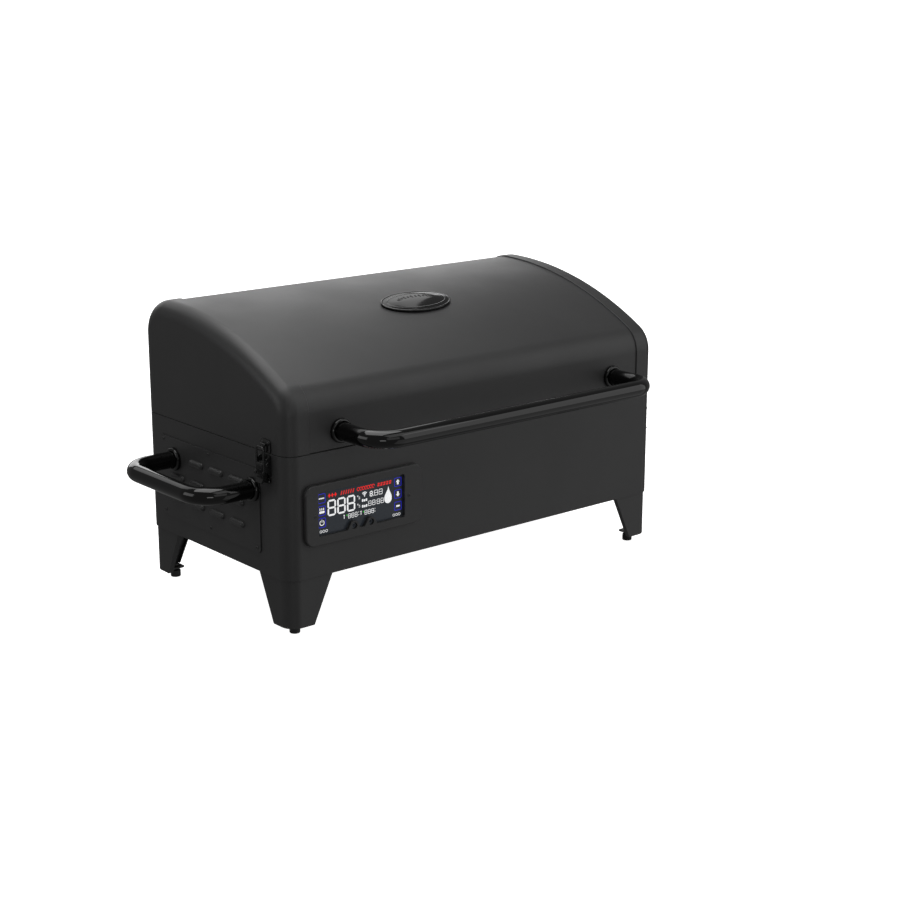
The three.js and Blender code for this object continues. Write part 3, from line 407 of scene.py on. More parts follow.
def gloss(name, tone, rough_low, rough_high, specular):
    """Stoved gloss enamel: a deep black with a trace of orange peel."""
    n = Nodes(name)
    n.shade(Specular_IOR_Level=specular)
    n.colour(n.ramp(n.noise(15, 3), tone, tuple(c * 1.5 for c in tone)))
    n.rough(n.ramp(n.noise(30, 4), rough_low, rough_high))
    n.bump(n.noise(160, 1), 0.02, 0.15)
    return n.material


def steel(name, dark, light, rough_low, rough_high, brush):
    """Mill-finish sheet: rolled streaks, with heat tint drifting over them."""
    n = Nodes(name)
    n.shade(Metallic=1.0)
    streak = n.noise(60, 4, n.stretched(*brush))
    tint = n.ramp(n.noise(9, 3), 0.2, 0.7)
    n.colour(n.mixed(tint, n.ramp(streak, dark, light), n.ramp(streak, light, dark)))
    n.rough(n.ramp(streak, rough_low, rough_high))
    n.bump(streak, 0.02, 0.3)
    return n.material


def moulded(name, dark, light, rough_low, rough_high, grain):
    """Moulded plastic or rubber with a spark-eroded grain."""
    n = Nodes(name)
    n.colour(n.ramp(n.noise(25, 3), dark, light))
    n.rough(n.ramp(n.noise(50, 3), rough_low, rough_high))
    n.bump(n.noise(grain, 2), 0.03, 0.3)
    return n.material


def speckled(name):
    """Porcelain enamel: glassy black with pale specks."""
    n = Nodes(name)
    n.shade(Coat_Weight=0.6, Coat_Roughness=0.12)
    n.colour(n.ramp(n.noise(700, 1), (0.012, 0.012, 0.013), (0.10, 0.10, 0.10), 0.66, 0.74))
    n.rough(n.ramp(n.noise(20, 3), 0.28, 0.42))
    n.bump(n.noise(300, 2), 0.03, 0.25)
    return n.material


def glass(name):
    """Dark slate touch glass, printed on its back."""
    n = Nodes(name)
    n.shade(Specular_IOR_Level=0.3)
    n.colour(n.ramp(n.noise(12, 2), (0.042, 0.050, 0.062), (0.046, 0.054, 0.066)))
    n.rough(n.ramp(n.noise(30, 2), 0.10, 0.16))
    n.bump(n.noise(40, 1), 0.01, 0.1)
    return n.material


def lamp(name, colour, bright):
    """A lit mark on the display: even colour, with the faint mesh of its light guide."""
    n = Nodes(name)
    n.shade(Emission_Strength=bright)
    tone = n.ramp(n.noise(900, 1), tuple(c * 0.92 for c in colour), colour)
    n.colour(tone)
    n.link(tone, n.shader.inputs["Emission Color"])
    n.rough(n.ramp(n.noise(60, 1), 0.3, 0.4))
    return n.material


def board(name):
    """Green solder mask with paler tracks."""
    n = Nodes(name)
    tracks = n.new("TexBrick", Scale=90.0, Color1=(0.008, 0.075, 0.026, 1),
                   Color2=(0.010, 0.095, 0.032, 1), Mortar=(0.03, 0.16, 0.06, 1))
    n.link(n.where, tracks.inputs["Vector"])
    n.colour(tracks.outputs["Color"])
    n.rough(n.ramp(n.noise(40, 2), 0.3, 0.45))
    n.bump(tracks.outputs["Fac"], 0.03, 0.3)
    return n.material


POWDER = coat("powder_coat", (0.0265, 0.0265, 0.0268), (0.0295, 0.0295, 0.0298), 0.42, 0.48)
GLOSS = gloss("gloss_enamel", (0.0012, 0.0012, 0.0012), 0.05, 0.08, 0.48)
HARDWARE = gloss("latch_enamel", (0.006, 0.006, 0.006), 0.14, 0.22, 0.6)
STEEL = steel("rolled_steel", (0.26, 0.26, 0.265), (0.42, 0.42, 0.43), 0.28, 0.45, (1, 60, 60))
ZINC = steel("zinc_plate", (0.35, 0.35, 0.34), (0.55, 0.55, 0.54), 0.25, 0.4, (1, 1, 1))
ENAMEL = speckled("porcelain_enamel")
PLASTIC = moulded("black_plastic", (0.007, 0.007, 0.0075), (0.012, 0.012, 0.0125), 0.42, 0.55, 900)
RUBBER = moulded("foot_rubber", (0.006, 0.006, 0.006), (0.011, 0.011, 0.011), 0.6, 0.75, 500)
GLASS = glass("slate_glass")
BOARD = board("solder_mask")
WHITE = lamp("lit_white", (0.88, 0.89, 0.90), 0.62)
RED = lamp("lit_red", (0.60, 0.012, 0.010), 0.85)
BLUE = lamp("lit_blue", (0.010, 0.010, 0.36), 0.85)
GREEN = lamp("lit_green", (0.012, 0.42, 0.02), 0.5)

SLOT_FINISH = {
    "black_coat": POWDER, "gloss_black": GLOSS, "display_glass": GLASS, "plain_steel": STEEL,
    "enamel": ENAMEL, "plastic": PLASTIC, "circuit_board": BOARD,
}


# ---- small parts
def screw(axis, u, v, base, sign, r, tall):
    """A button-head screw with a six-sided recess."""
    sides = 24
    dome = [(r, 0), (r, tall * 0.35), (r * 0.86, tall * 0.75), (r * 0.62, tall)]
    rings = [[lift(axis, a, b, base + sign * h) for a, b in circle(u, v, q, sides)] for q, h in dome]
    for scale, h in ((1.0, tall), (0.9, tall * 0.35)):
        hexagon = []
        for i in range(sides):
            turn = math.radians(i * 360 / sides)
            within = math.radians(i * 360 / sides % 60 - 30)
            q = r * 0.4 * scale / math.cos(within)
            hexagon.append(lift(axis, u + q * math.cos(turn), v + q * math.sin(turn), base + sign * h))
        rings.append(hexagon)
    return Solid().loft(rings)


# ---- body
def ring_at(inset, z):
    """The body's outline at a height, moved in from the outside."""
    r = max(CORNER_R - inset, 8)
    flat = rounded(-HALF_W + inset, HALF_W - inset, -HALF_D + inset, HALF_D - inset, r, 12)
    return [Vector((u, v, z)) for u, v in flat]


def body_shell():
    soft = BODY_SOFT
    section = [
        (0, BODY_LOW + soft), (0, BODY_TOP - soft), (soft * 0.3, BODY_TOP - soft * 0.3),
        (soft, BODY_TOP), (FLANGE, BODY_TOP), (FLANGE, BODY_TOP - SHEET), (SHEET, BODY_TOP - SHEET),
        (SHEET, BODY_LOW + SHEET), (FLANGE, BODY_LOW + SHEET), (FLANGE, BODY_LOW),
        (soft, BODY_LOW), (soft * 0.3, BODY_LOW + soft * 0.3),
    ]
    shell = Solid().loft([ring_at(inset, z) for inset, z in section], closed=True)
    deep = 6
    drawer = span("grease_drawer")
    holes = Solid()
    holes.box(-274, -131, -HALF_D - deep, -HALF_D + deep, 119, 186)
    holes.box(-HALF_W - deep, -HALF_W + deep, -90, 112, 105, 196)
    holes.box(HALF_W - deep, HALF_W + deep, drawer[2] + 4.4, drawer[3] - 4.4, BODY_LOW + 3.3, 100.6)
    holes.box(-266, -234, HALF_D - deep, HALF_D + deep, 101, 123)
    for i in range(6):
        left = -80 + 38 * i
        holes.prism(rounded(left, left + 26, 198.5, 207, 3, 5), "y", HALF_D - deep, HALF_D + deep)
    rails = Solid()
    for z in (166, 194):
        for side in (-1, 1):
            wall, lip = sorted((side * (HALF_D - RAIL_INSET), side * (HALF_D - FLANGE)))
            rails.box(-95, 300, wall, lip, z, z + SHEET)
    for x in (-150, 30, 190):
        rails.add(screw("y", x, 92, HALF_D, 1, 3.4, 1.6))
    piece("body_shell_panels", shell, POWDER, "base", ["body_shell"], bevel=0,
          cut=holes, plus=rails, sharp=30)


def louvre(y, z, face):
    """A pressed hood on the left panel, open along its underside."""
    half = LOUVRE_LONG / 2 - LOUVRE_R
    stations = [(-half - LOUVRE_R * math.sin(a), math.cos(a)) for a in
                [math.radians(86 - 86 * i / 6) for i in range(7)]]
    stations += [(-along, scale) for along, scale in reversed(stations)]
    rings = []
    for along, scale in stations:
        outer = arc(0, 0, LOUVRE_R * scale, 90, 248, 12)
        inner = arc(0, 0, max(LOUVRE_R - 0.9, 0.1) * scale, 248, 90, 12)
        rings.append([Vector((face + u, y + along, z + v)) for u, v in outer + inner])
    return Solid().loft(rings)


def access_panel():
    back = -HALF_W - GAP
    front = back - CAP_SHEET
    edge = rounded(PANEL["y0"], PANEL["y1"], PANEL["z0"], PANEL["z1"], PANEL["r"])
    plate = Solid().prism(edge, "x", front, back)
    slots = Solid()
    hoods = Solid()
    for z in LOUVRE_Z:
        for y in LOUVRE_Y:
            if (y, z) != NO_LOUVRE:
                half = LOUVRE_LONG / 2 - 3
                slots.box(front - 2, back + 2, y - half, y + half, z - 3.4, z + 2.2)
                hoods.add(louvre(y, z, front + 0.3))
    for y in (PANEL["y0"] + 7, 8, PANEL["y1"] - 10):
        for z in (PANEL["z0"] + 6.5, PANEL["z1"] - 4.5):
            hoods.add(screw("x", y, z, front, -1, 2.1, 1.1))
    piece("access_panel_louvred", plate, POWDER, "base", ["left_access_panel"], bevel=0.3,
          cut=slots, plus=hoods)


# ---- legs and feet
def leg_ring(z):
    """The right rear leg's folded section at a height: two flanges, a round corner and two hems."""
    wide = LEG_NARROW + (LEG_WIDE - LEG_NARROW) * (z - LEG_LOW) / (LEG_TOP - LEG_LOW)
    x1, y1 = HALF_W - LEG_INSET, HALF_D - LEG_INSET
    edge_x, edge_y = HALF_W - wide, HALF_D - wide
    r = CORNER_R - LEG_INSET
    t = LEG_SHEET
    outside = [(x1, edge_y)] + arc(x1 - r, y1 - r, r, 0, 90, 12) + [(edge_x, y1)]
    hem_a = [(edge_x, y1 - LEG_HEM), (edge_x + t, y1 - LEG_HEM), (edge_x + t, y1 - t)]
    inside = arc(x1 - r, y1 - r, r - t, 90, 0, 12)
    hem_b = [(x1 - t, edge_y + t), (x1 - LEG_HEM, edge_y + t), (x1 - LEG_HEM, edge_y)]
    return [Vector((x, y, z)) for x, y in outside + hem_a + inside + hem_b]


def leg_solid():
    shape = Solid().loft([leg_ring(LEG_LOW), leg_ring(LEG_TOP)])
    foot_x, foot_y = HALF_W - FOOT_INSET, HALF_D - FOOT_INSET
    out = LEG_INSET + LEG_SHEET * 0.6
    x1, y1 = HALF_W - out, HALF_D - out
    reach = PLATE_REACH
    corner = arc(x1 - PLATE_R, y1 - PLATE_R, PLATE_R, 0, 90, 10)
    inner = arc(foot_x - reach + 4, foot_y - reach + 4, 4, 180, 270, 8)
    pad = corner + [(foot_x - reach, y1)] + inner + [(x1, foot_y - reach)]
    shape.prism(pad, "z", PLATE_LOW, PLATE_LOW + 2)
    shape.turned([(5, 0), (5, 3.6)], "z", foot_x, foot_y, PLATE_LOW + 2.1, sides=6)
    deep_x, deep_y = HALF_W - BRACKET_REACH, HALF_D - BRACKET_REACH
    bracket = corner + [(deep_x, y1), (deep_x, deep_y), (x1, deep_y)]
    return shape.prism(bracket, "z", LEG_TOP - 2.2, LEG_TOP - 0.2)


def foot_solid():
    """A moulded foot on a threaded stud."""
    profile = [(5.4, 0), (6.3, 0.3), (6.7, 1.1), (6.7, 2.6), (6.4, 3.0), (6.7, 3.4), (6.7, 8.4)]
    profile += [(6.1, 9.2), (3.1, 10.4)]
    for turn in range(27):
        profile += [(2.9, 10.8 + turn), (2.45, 11.3 + turn)]
    profile += [(2.4, 37.6), (1.6, 38)]
    return Solid().turned(profile, "z", HALF_W - FOOT_INSET, HALF_D - FOOT_INSET, sides=28)


def legs_and_feet():
    leg, foot = leg_solid(), foot_solid()
    for corner, (sx, sy) in CORNERS.items():
        piece("leg_folded_" + corner, leg.scaled(sx, sy), POWDER, "base", ["leg_" + corner],
              bevel=0.35)
        piece("foot_turned_" + corner, foot.scaled(sx, sy), RUBBER, "foot_" + corner,
              ["levelling_foot_" + corner], bevel=0)


# ---- lid
def lid_outline(inset):
    """The lid's cross-section in YZ, from the front edge over the top to the rear edge."""
    front_y = -HALF_D + LID_FRONT_R
    rear_y = HALF_D - LID_REAR_R

    def rise(r, y):
        return math.sqrt((LID_TOP_R - r) ** 2 - (y - LID_TOP_Y) ** 2) + LID_TOP_Z

    front_z, rear_z = rise(LID_FRONT_R, front_y), rise(LID_REAR_R, rear_y)
    front_turn = math.degrees(math.atan2(front_z - LID_TOP_Z, front_y - LID_TOP_Y))
    rear_turn = math.degrees(math.atan2(rear_z - LID_TOP_Z, rear_y - LID_TOP_Y))
    return (
        [(-HALF_D + inset, LID_LOW)]
        + arc(front_y, front_z, LID_FRONT_R - inset, 180, front_turn, 14)
        + arc(LID_TOP_Y, LID_TOP_Z, LID_TOP_R - inset, front_turn, rear_turn, 30)[1:]
        + arc(rear_y, rear_z, LID_REAR_R - inset, rear_turn, 0, 18)[1:]
        + [(HALF_D - inset, LID_LOW)]
    )


def lid_skin():
    section = lid_outline(SKIN_INSET) + list(reversed(lid_outline(SKIN_INSET + SHEET)))
    half = HALF_W - CAP_RIM + 14
    piece("lid_skin_rolled", Solid().prism(section, "x", -half, half), POWDER, "lid", ["lid_skin"],
          bevel=0.3, sharp=30)


def cap_rows(sheet, start):
    """Rows of a drawn cap's outer or inner face, from its rim to its end face."""
    centre = HALF_W - CORNER_R
    r = CORNER_R - sheet
    rows = [(start, sheet)] + arc(centre, CORNER_R, r, -90, 0, 12)
    return [[Vector((x, y, z)) for y, z in lid_outline(inset)] for x, inset in rows]


def lid_cap():
    """The right cap: one shell of an outer and an inner face, joined at the rim and along both ends."""
    start = HALF_W - CAP_RIM
    soft = 0.5
    rim = [[Vector((start, p.y, p.z)) for p in cap_rows(soft, start)[0]]]
    face = cap_rows(0, start)
    outer = rim + [[Vector((start + soft, p.y, p.z)) for p in face[0]]] + face[1:]
    rows = outer + list(reversed(cap_rows(CAP_SHEET, start)))
    shape = Solid()
    shape.points = [p for row in rows for p in row]
    count = len(outer[0])
    last_outer = len(outer) - 1
    for i in range(len(rows)):
        if i == last_outer:
            continue
        here, there = i * count, (i + 1) % len(rows) * count
        for j in range(count - 1):
            shape.faces.append((here + j, here + j + 1, there + j + 1, there + j))
    end = last_outer * count
    shape.faces.append(tuple(range(end, end + count)))
    shape.faces.append(tuple(range(end + count, end + 2 * count)))
    pairs = [(i, len(rows) - 1 - max(i - 1, 0)) for i in range(len(outer))]
    for j in (0, count - 1):
        for (a, b), (c, d) in zip(pairs, pairs[1:]):
            inside = [b * count + j] if b == d else [d * count + j, b * count + j]
            shape.faces.append((a * count + j, c * count + j, *inside))
    a, b = pairs[-1]
    shape.faces.append((a * count, a * count + count - 1, b * count + count - 1, b * count))
    return shape


def lid_caps():
    cap = lid_cap()
    for end, side in ENDS.items():
        piece("lid_cap_drawn_" + end, cap.scaled(side), POWDER, "lid", ["lid_cap_" + end],
              bevel=0, sharp=42)


def emblem():
    """An oval badge: a rolled rim, a domed field with a raised line, and an arched row of flutes."""
    field, line = EMBLEM_FIELD, EMBLEM_LINE

    def dome(inset):
        rise = min((inset - field) / (EMBLEM_SHORT - field), 1)
        return 3.0 + EMBLEM_CROWN * math.sin(math.pi / 2 * rise)

    def oval(inset, height):
        return [Vector((u * (EMBLEM_LONG - inset), v * (EMBLEM_SHORT - inset), height))
                for u, v in circle(0, 0, 1, 96)]

    def inset_at(u, v):
        """The inset of the oval that passes through a point, by halving."""
        low, high = 0.0, EMBLEM_SHORT - 0.1
        for _ in range(24):
            middle = (low + high) / 2
            inside = (u / (EMBLEM_LONG - middle)) ** 2 + (v / (EMBLEM_SHORT - middle)) ** 2 < 1
            low, high = (middle, high) if inside else (low, middle)
        return low

    rows = [(0.5, 0.3), (0, 0.9), (0, 2.3), (0.3, 2.9), (0.9, 3.25), (1.5, 3.3), (2.1, 3.05), (2.5, 2.8)]
    plain = [3.0, 4.2, 5.6, 7.0, line - 0.6, line, line + 0.6, 9.6, 11.5, 14, 17, 20.5, 24, 26.5, 28]
    rows += [(inset, dome(inset) + (0.3 if inset == line else 0)) for inset in plain]
    shape = Solid().loft([oval(inset, height) for inset, height in rows])
    for i in range(FLUTES):
        turn = math.radians(152 - 124 * i / (FLUTES - 1))
        u, v = 30 * math.cos(turn), 10.5 * math.sin(turn)
        height = dome(inset_at(u, v))
        tall = 3.2 if i % 2 else 2.0
        bar = rounded(u - 1.1, u + 1.1, v - tall, v + tall, 1.0, 4)
        top = [(u + (x - u) * 0.5, v + (y - v) * 0.85) for x, y in bar]
        levels = ((bar, height - 0.8), (bar, height + 0.45), (top, height + 0.75))
        shape.loft([[Vector((x, y, z)) for x, y in flat] for flat, z in levels])
    turn = EMBLEM_ARC / LID_TOP_R
    r = LID_TOP_R - SKIN_INSET
    base = Vector((0, LID_TOP_Y + r * math.sin(turn), LID_TOP_Z + r * math.cos(turn)))
    place = Matrix.Translation(base) @ Matrix.Rotation(-turn, 4, "X")
    piece("lid_emblem_oval", Solid().add(shape, place), GLOSS, "lid", ["lid_emblem"], bevel=0,
          sharp=45)


# ---- handles
def grip_path(half, reach, bend):
    """A U from a mounting face at 0 to the grip at reach, as (along, out) pairs."""
    out = reach - bend
    left = arc(-half + bend, out, bend, 180, 90, 20)
    right = arc(half - bend, out, bend, 90, 0, 20)
    stub = [(-half, 0), (-half, out * 0.5)]
    return stub + left + right + [(half, out * 0.5), (half, 0)]


def collar(axis, u, v, base, sign):
    """The pressed ring where a handle meets the sheet."""
    inner = TUBE_R + 0.25
    edge = arc(COLLAR_R - COLLAR_SOFT, COLLAR_DEEP - COLLAR_SOFT, COLLAR_SOFT, 0, 90, 6)
    profile = [(inner, 0), (COLLAR_R, 0), (COLLAR_R, 0.6)] + edge
    profile += [(inner + 0.7, COLLAR_DEEP), (inner, COLLAR_DEEP - 0.7)]
    return Solid().ring(profile, axis, u, v, base, sign)


def handle(name, size, axis, face, sunk, body, ends):
    """A bent tube standing on a face, with a collar at each end."""
    half, z = size["half"], size["z"]
    path = [lift(axis, u, z, face - v) for u, v in grip_path(half, size["reach"] - sunk, size["bend"])]
    piece(name + "_tube", Solid().tube(path, TUBE_R, TUBE_SIDES), GLOSS, body, [name], bevel=0,
          sharp=50)
    for end, side in ends.items():
        piece(name + "_collar_" + end, collar(axis, side * half, z, face, -1), GLOSS, body,
              [name + "_flange_" + end], bevel=0)


def handles():
    sunk = GAP - SKIN_INSET
    handle("lid_handle", LID_HANDLE, "y", -HALF_D - sunk, sunk, "lid", ENDS)
    proud = 2 * GAP + CAP_SHEET
    handle("side_handle", SIDE_HANDLE, "x", -HALF_W - proud, proud, "base", {"front": -1, "rear": 1})


# ---- control panel
def window_outline():
    """The window, with a tab for each probe jack standing in its bottom edge."""
    w = WINDOW
    r = w["r"]
    points = arc(w["x0"] + r, w["z0"] + r, r, 180, 270, 5)
    for x in JACK_X:
        points += [(x - 10.4, w["z0"])] + arc(x, JACK_Z, JACK_TAB_R, 150, 20, 12) + [(x + 9.2, w["z0"])]
    points += arc(w["x1"] - r, w["z0"] + r, r, 270, 360, 5)
    points += arc(w["x1"] - r, w["z1"] - r, r, 0, 90, 5)
    return points + arc(w["x0"] + r, w["z1"] - r, r, 90, 180, 5)


def bezel():
    b = BEZEL
    rows = [
        (0, -HALF_D - GAP), (0, BEZEL_FRONT + 1.6), (0.35, BEZEL_FRONT + 0.6), (1.1, BEZEL_FRONT + 0.1),
        (1.8, BEZEL_FRONT),
    ]
    blank = Solid().loft([
        [Vector((u, y, v)) for u, v in
         rounded(b["x0"] + i, b["x1"] - i, b["z0"] + i, b["z1"] - i, b["r"] - i, 10)]
        for i, y in rows
    ])
    near, far = BEZEL_FRONT - 2, -HALF_D + 5
    view = Solid().prism(window_outline(), "y", near, far)
    for x in JACK_X:
        view.prism(circle(x, JACK_Z, JACK_R, 28), "y", near, far)
    w = WINDOW
    lip = 2.8
    seat = rounded(w["x0"] - lip, w["x1"] + lip, w["z0"] - lip, w["z1"] + lip, 1, 3)
    view.prism(seat, "y", GLASS_FRONT - 0.2, far)
    heads = Solid()
    for x in (-273.7, -130.1):
        heads.add(screw("y", x, 151.7, BEZEL_FRONT + 0.1, -1, 2.3, 0.7))
    piece("control_bezel_raised", blank, POWDER, "base", ["control_bezel"], bevel=0,
          cut=view, edge=0.25, plus=heads)


def jacks():
    r = JACK_R - GAP
    for i, x in enumerate(JACK_X):
        profile = [(r, 0), (r, 6.2), (r - 0.5, 6.6), (1.7, 6.6), (1.7, 5.2), (0.3, 5.2)]
        shape = Solid().turned(profile, "y", x, JACK_Z, -157.3, -1, 28)
        shape.turned([(0.8, 0), (0.8, 2.4), (0.5, 2.8)], "y", x, JACK_Z, -161, -1, 16)
        piece("probe_socket_%d" % (i + 1), shape, GLASS, "base", ["probe_jack_%d" % (i + 1)],
              bevel=0)


def glass_pane():
    x0, x1, y0, y1, z0, z1 = span("display_glass")
    pane = Solid().prism(rounded(x0, x1, z0, z1, 1.5, 4), "y", y0, y1)
    holes = Solid()
    for x in JACK_X:
        holes.prism(circle(x, JACK_Z, JACK_R + 0.6, 24), "y", y0 - 1, y1 + 1)
    piece("display_pane", pane, GLASS, "base", ["display_glass"], bevel=0.3, cut=holes)


LIT_LOW = GLASS_FRONT - 0.02
LIT_HIGH = GLASS_FRONT - 0.14
KEYS_LEFT = (171, 155.6, 140.4)
KEYS_RIGHT = (170.4, 154.9, 139.4)


def mark(solid, outline):
    """A lit mark: an outline a hair proud of the glass."""
    return solid.prism(outline, "y", LIT_LOW, LIT_HIGH)


def frame_mark(solid, x0, x1, z0, z1, r, wide):
    """A rounded outline of one width."""
    outer = rounded(x0, x1, z0, z1, r, 5)
    inner = rounded(x0 + wide, x1 - wide, z0 + wide, z1 - wide, max(r - wide, 0.2), 5)
    rows = [(outer, LIT_LOW), (outer, LIT_HIGH), (inner, LIT_HIGH), (inner, LIT_LOW)]
    return solid.loft([[Vector((u, y, v)) for u, v in flat] for flat, y in rows], closed=True)


def digit(solid, x0, x1, z0, z1, wide):
    """An eight of seven bars with pointed ends."""
    half = wide / 2
    gap = wide * 0.12
    middle = (z0 + z1) / 2
    for z in (z0 + half, middle, z1 - half):
        a, b = x0 + half + gap, x1 - half - gap
        ends = [(a, z), (a + half, z + half), (b - half, z + half)]
        mark(solid, ends + [(b, z), (b - half, z - half), (a + half, z - half)])
    for x in (x0 + half, x1 - half):
        for low, high in ((z0 + half, middle), (middle, z1 - half)):
            a, b = low + gap, high - gap
            ends = [(x, a), (x + half, a + half), (x + half, b - half)]
            mark(solid, ends + [(x, b), (x - half, b - half), (x - half, a + half)])


def digits(solid, x0, x1, z0, z1, count, wide, gap):
    pitch = (x1 - x0 + gap) / count
    for i in range(count):
        digit(solid, x0 + i * pitch, x0 + i * pitch + pitch - gap, z0, z1, wide)


def arrow(solid, x, z, sign):
    head = [(-3.1, 0.2), (0, 3.4), (3.1, 0.2), (1.3, 0.2), (1.3, -3.2), (-1.3, -3.2), (-1.3, 0.2)]
    mark(solid, [(x + u, z + sign * v) for u, v in head])


def flame(solid, x, z0, z1):
    """A flame: round at the foot, drawn up to a leaning tip."""
    half = 5.7
    foot = arc(x, z0 + half, half, 180, 360, 14)
    right = [(x + 5.6, z0 + 8.4), (x + 4.6, z0 + 11.6), (x + 3.0, z0 + 14.4), (x + 1.9, z0 + 17.2)]
    left = [(x - 0.6, z0 + 17.4), (x - 2.4, z0 + 14.6), (x - 4.4, z0 + 11.4), (x - 5.6, z0 + 8.6)]
    mark(solid, foot + right + [(x + 0.6, z1)] + left)


def display():
    white, red, blue, green = Solid(), Solid(), Solid(), Solid()
    read_outs = [
        (-252.2, -210.6, 146.6, 167, 3, 2.2, 2.0), (-188.2, -183.4, 159.5, 166.6, 1, 1.2, 0),
        (-181.3, -168.4, 159.6, 166.6, 2, 0.65, 1.4), (-190.6, -179.7, 148, 154.5, 2, 0.6, 1.3),
        (-177.2, -166.6, 148, 154.5, 2, 0.6, 1.3), (-221.6, -207.4, 138.2, 144.2, 3, 0.6, 1.1),
        (-196.4, -182, 138.0, 143.8, 3, 0.6, 1.1),
    ]
    for read_out in read_outs:
        digits(white, *read_out)
    dots = [(-182.4, 160.1, 0.5), (-178.45, 149.8, 0.4), (-178.45, 152.6, 0.4), (-196.1, 162, 0.7)]
    for x, z, r in dots:
        mark(white, circle(x, z, r, 12))
    rings = [(-206.5, 163.6), (-206.5, 153), (-205.4, 143.4), (-180.3, 143.1), (-205.4, 140)]
    for x, z in rings + [(-180.3, 139.6)]:
        r = 0.9 if z > 150 else 0.55
        frame_mark(white, x - r, x + r, z - r, z + r, r * 0.9, r * 0.5)
    for z in (161.6, 159.6, 151.2, 149.2):
        mark(white, rounded(-205.2, -203, z, z + 0.8, 0.3, 3))
    for x in (-226.5, -200.9):
        stem = [(x - 1.4, 142.4), (x - 1.4, 139), (x - 0.6, 139), (x - 0.6, 142.4)]
        mark(white, [(x, 143.9), (x - 2.2, 143.9)] + stem)
    for low in (155.2, 147.8):
        for i in range(3):
            x = -200.2 + i * 2.9
            mark(white, rounded(x, x + 2.2, low, low + 3.2 - 0.5 * (i % 2), 0.4, 3))
    for r in (5.6, 3.8, 2.1):
        mark(white, arc(-196.1, 161.9, r, 48, 132, 10) + arc(-196.1, 161.9, r - 1.1, 132, 48, 10))
    flame(white, -159.8, 146, 167.6)
    keys(white, blue)
    for x, z in ((-258.4, 129.4), (-146.7, 128.6)):
        for i in range(3):
            left = x - 6 + i * 4.2
            frame_mark(white, left, left + 3.6, z - 1.7, z + 1.7, 1.6, 0.5)
    for x, z in ((-223.3, 142.8), (-198, 142.4)):
        mark(green, circle(x, z, 1.0, 14))
    function_signs(red)
    lit = {"digits": (white, WHITE), "signs": (red, RED), "keys": (blue, BLUE), "probes": (green, GREEN)}
    for name, (solid, finish) in lit.items():
        piece("display_" + name, solid, finish, "base", bevel=0)


def keys(white, blue):
    """Touch keys down both sides of the glass: dash, burner and power, then up, down and dash."""
    dash, burner, power = KEYS_LEFT
    up, down, enter = KEYS_RIGHT
    for z in KEYS_LEFT:
        frame_mark(blue, -266.2, -255, z - 6.1, z + 6.1, 2, 0.9)
    for z in KEYS_RIGHT:
        frame_mark(blue, -150, -138.6, z - 5.7, z + 5.7, 1.6, 0.9)
    mark(white, rounded(-265, -256.8, dash - 0.6, dash + 0.8, 0.5, 3))
    mark(white, rounded(-264.6, -256.8, burner - 3.2, burner - 0.4, 1, 4))
    for x in (-263.4, -260.7, -258):
        mark(white, rounded(x - 0.6, x + 0.6, burner + 0.4, burner + 3.4, 0.5, 4))
    mark(white, arc(-260.8, power, 3.6, 125, 415, 24) + arc(-260.8, power, 2.7, 415, 125, 24))
    mark(white, rounded(-261.2, -260.4, power + 0.4, power + 4, 0.3, 3))
    arrow(white, -144.3, up, 1)
    arrow(white, -144.3, down, -1)
    mark(white, rounded(-147.1, -141.5, enter - 1.1, enter + 1.1, 0.6, 4))


def function_signs(red):
    """Four red signs over the read-out: a fan, a screw conveyor, a heater coil and pellets."""
    z0, z1 = 170, 175
    middle = (z0 + z1) / 2
    for i in range(3):
        x = -249.3 + i * 4.6
        mark(red, rounded(x - 2, x + 2, middle - 0.75, middle + 0.75, 0.7, 4))
        mark(red, rounded(x - 0.75, x + 0.75, z0, z1, 0.7, 4))
    for i in range(6):
        x = -232.6 + i * 3.6
        mark(red, [(x, z0), (x + 1.4, z0), (x + 3.0, z1), (x + 1.6, z1)])
    for i in range(7):
        x = -206.6 + i * 3.8
        mark(red, arc(x + 1.2, middle, 2.5, 0, 300, 14) + arc(x + 1.2, middle, 1.5, 300, 0, 14))
    for i in range(5):
        x = -176.4 + i * 4.5
        mark(red, rounded(x, x + 3.5, z0 + 0.3, z0 + 2.2, 0.9, 4))
        mark(red, rounded(x + 0.6, x + 4.0, z0 + 2.7, z1 - 0.3, 0.9, 4))


# ---- draw latches
def latch_base():
    back = HALF_W + GAP
    low, high = LATCH_Y - LATCH_HALF, LATCH_Y + LATCH_HALF
    shape = Solid().box(back, back + SHEET, low + 1, high, 194, 226)
    shape.prism(rounded(LATCH_Y - 9, LATCH_Y + 11.6, 191.5, 198.4, 2.4, 5), "x", back, back + 2.6)
    cheek = arc(315.6, 209, 3.2, 290, 360, 5) + arc(315.6, 219.6, 3.2, 0, 80, 5)
    for side in (-1, 1):
        outer = LATCH_Y + side * LATCH_HALF
        shape.prism([(back, 200)] + cheek + [(back, 226)], "y", *sorted((outer, outer - side * 1.2)))
        shape.add(screw("x", LATCH_Y + side * 8.4, 194, back + 2.5, 1, 1.7, 0.9))
        shape.turned([(2.8, 0), (2.8, 0.7), (2.2, 1.1)], "y", *LATCH_PIVOT, outer, side, 20)
    return shape


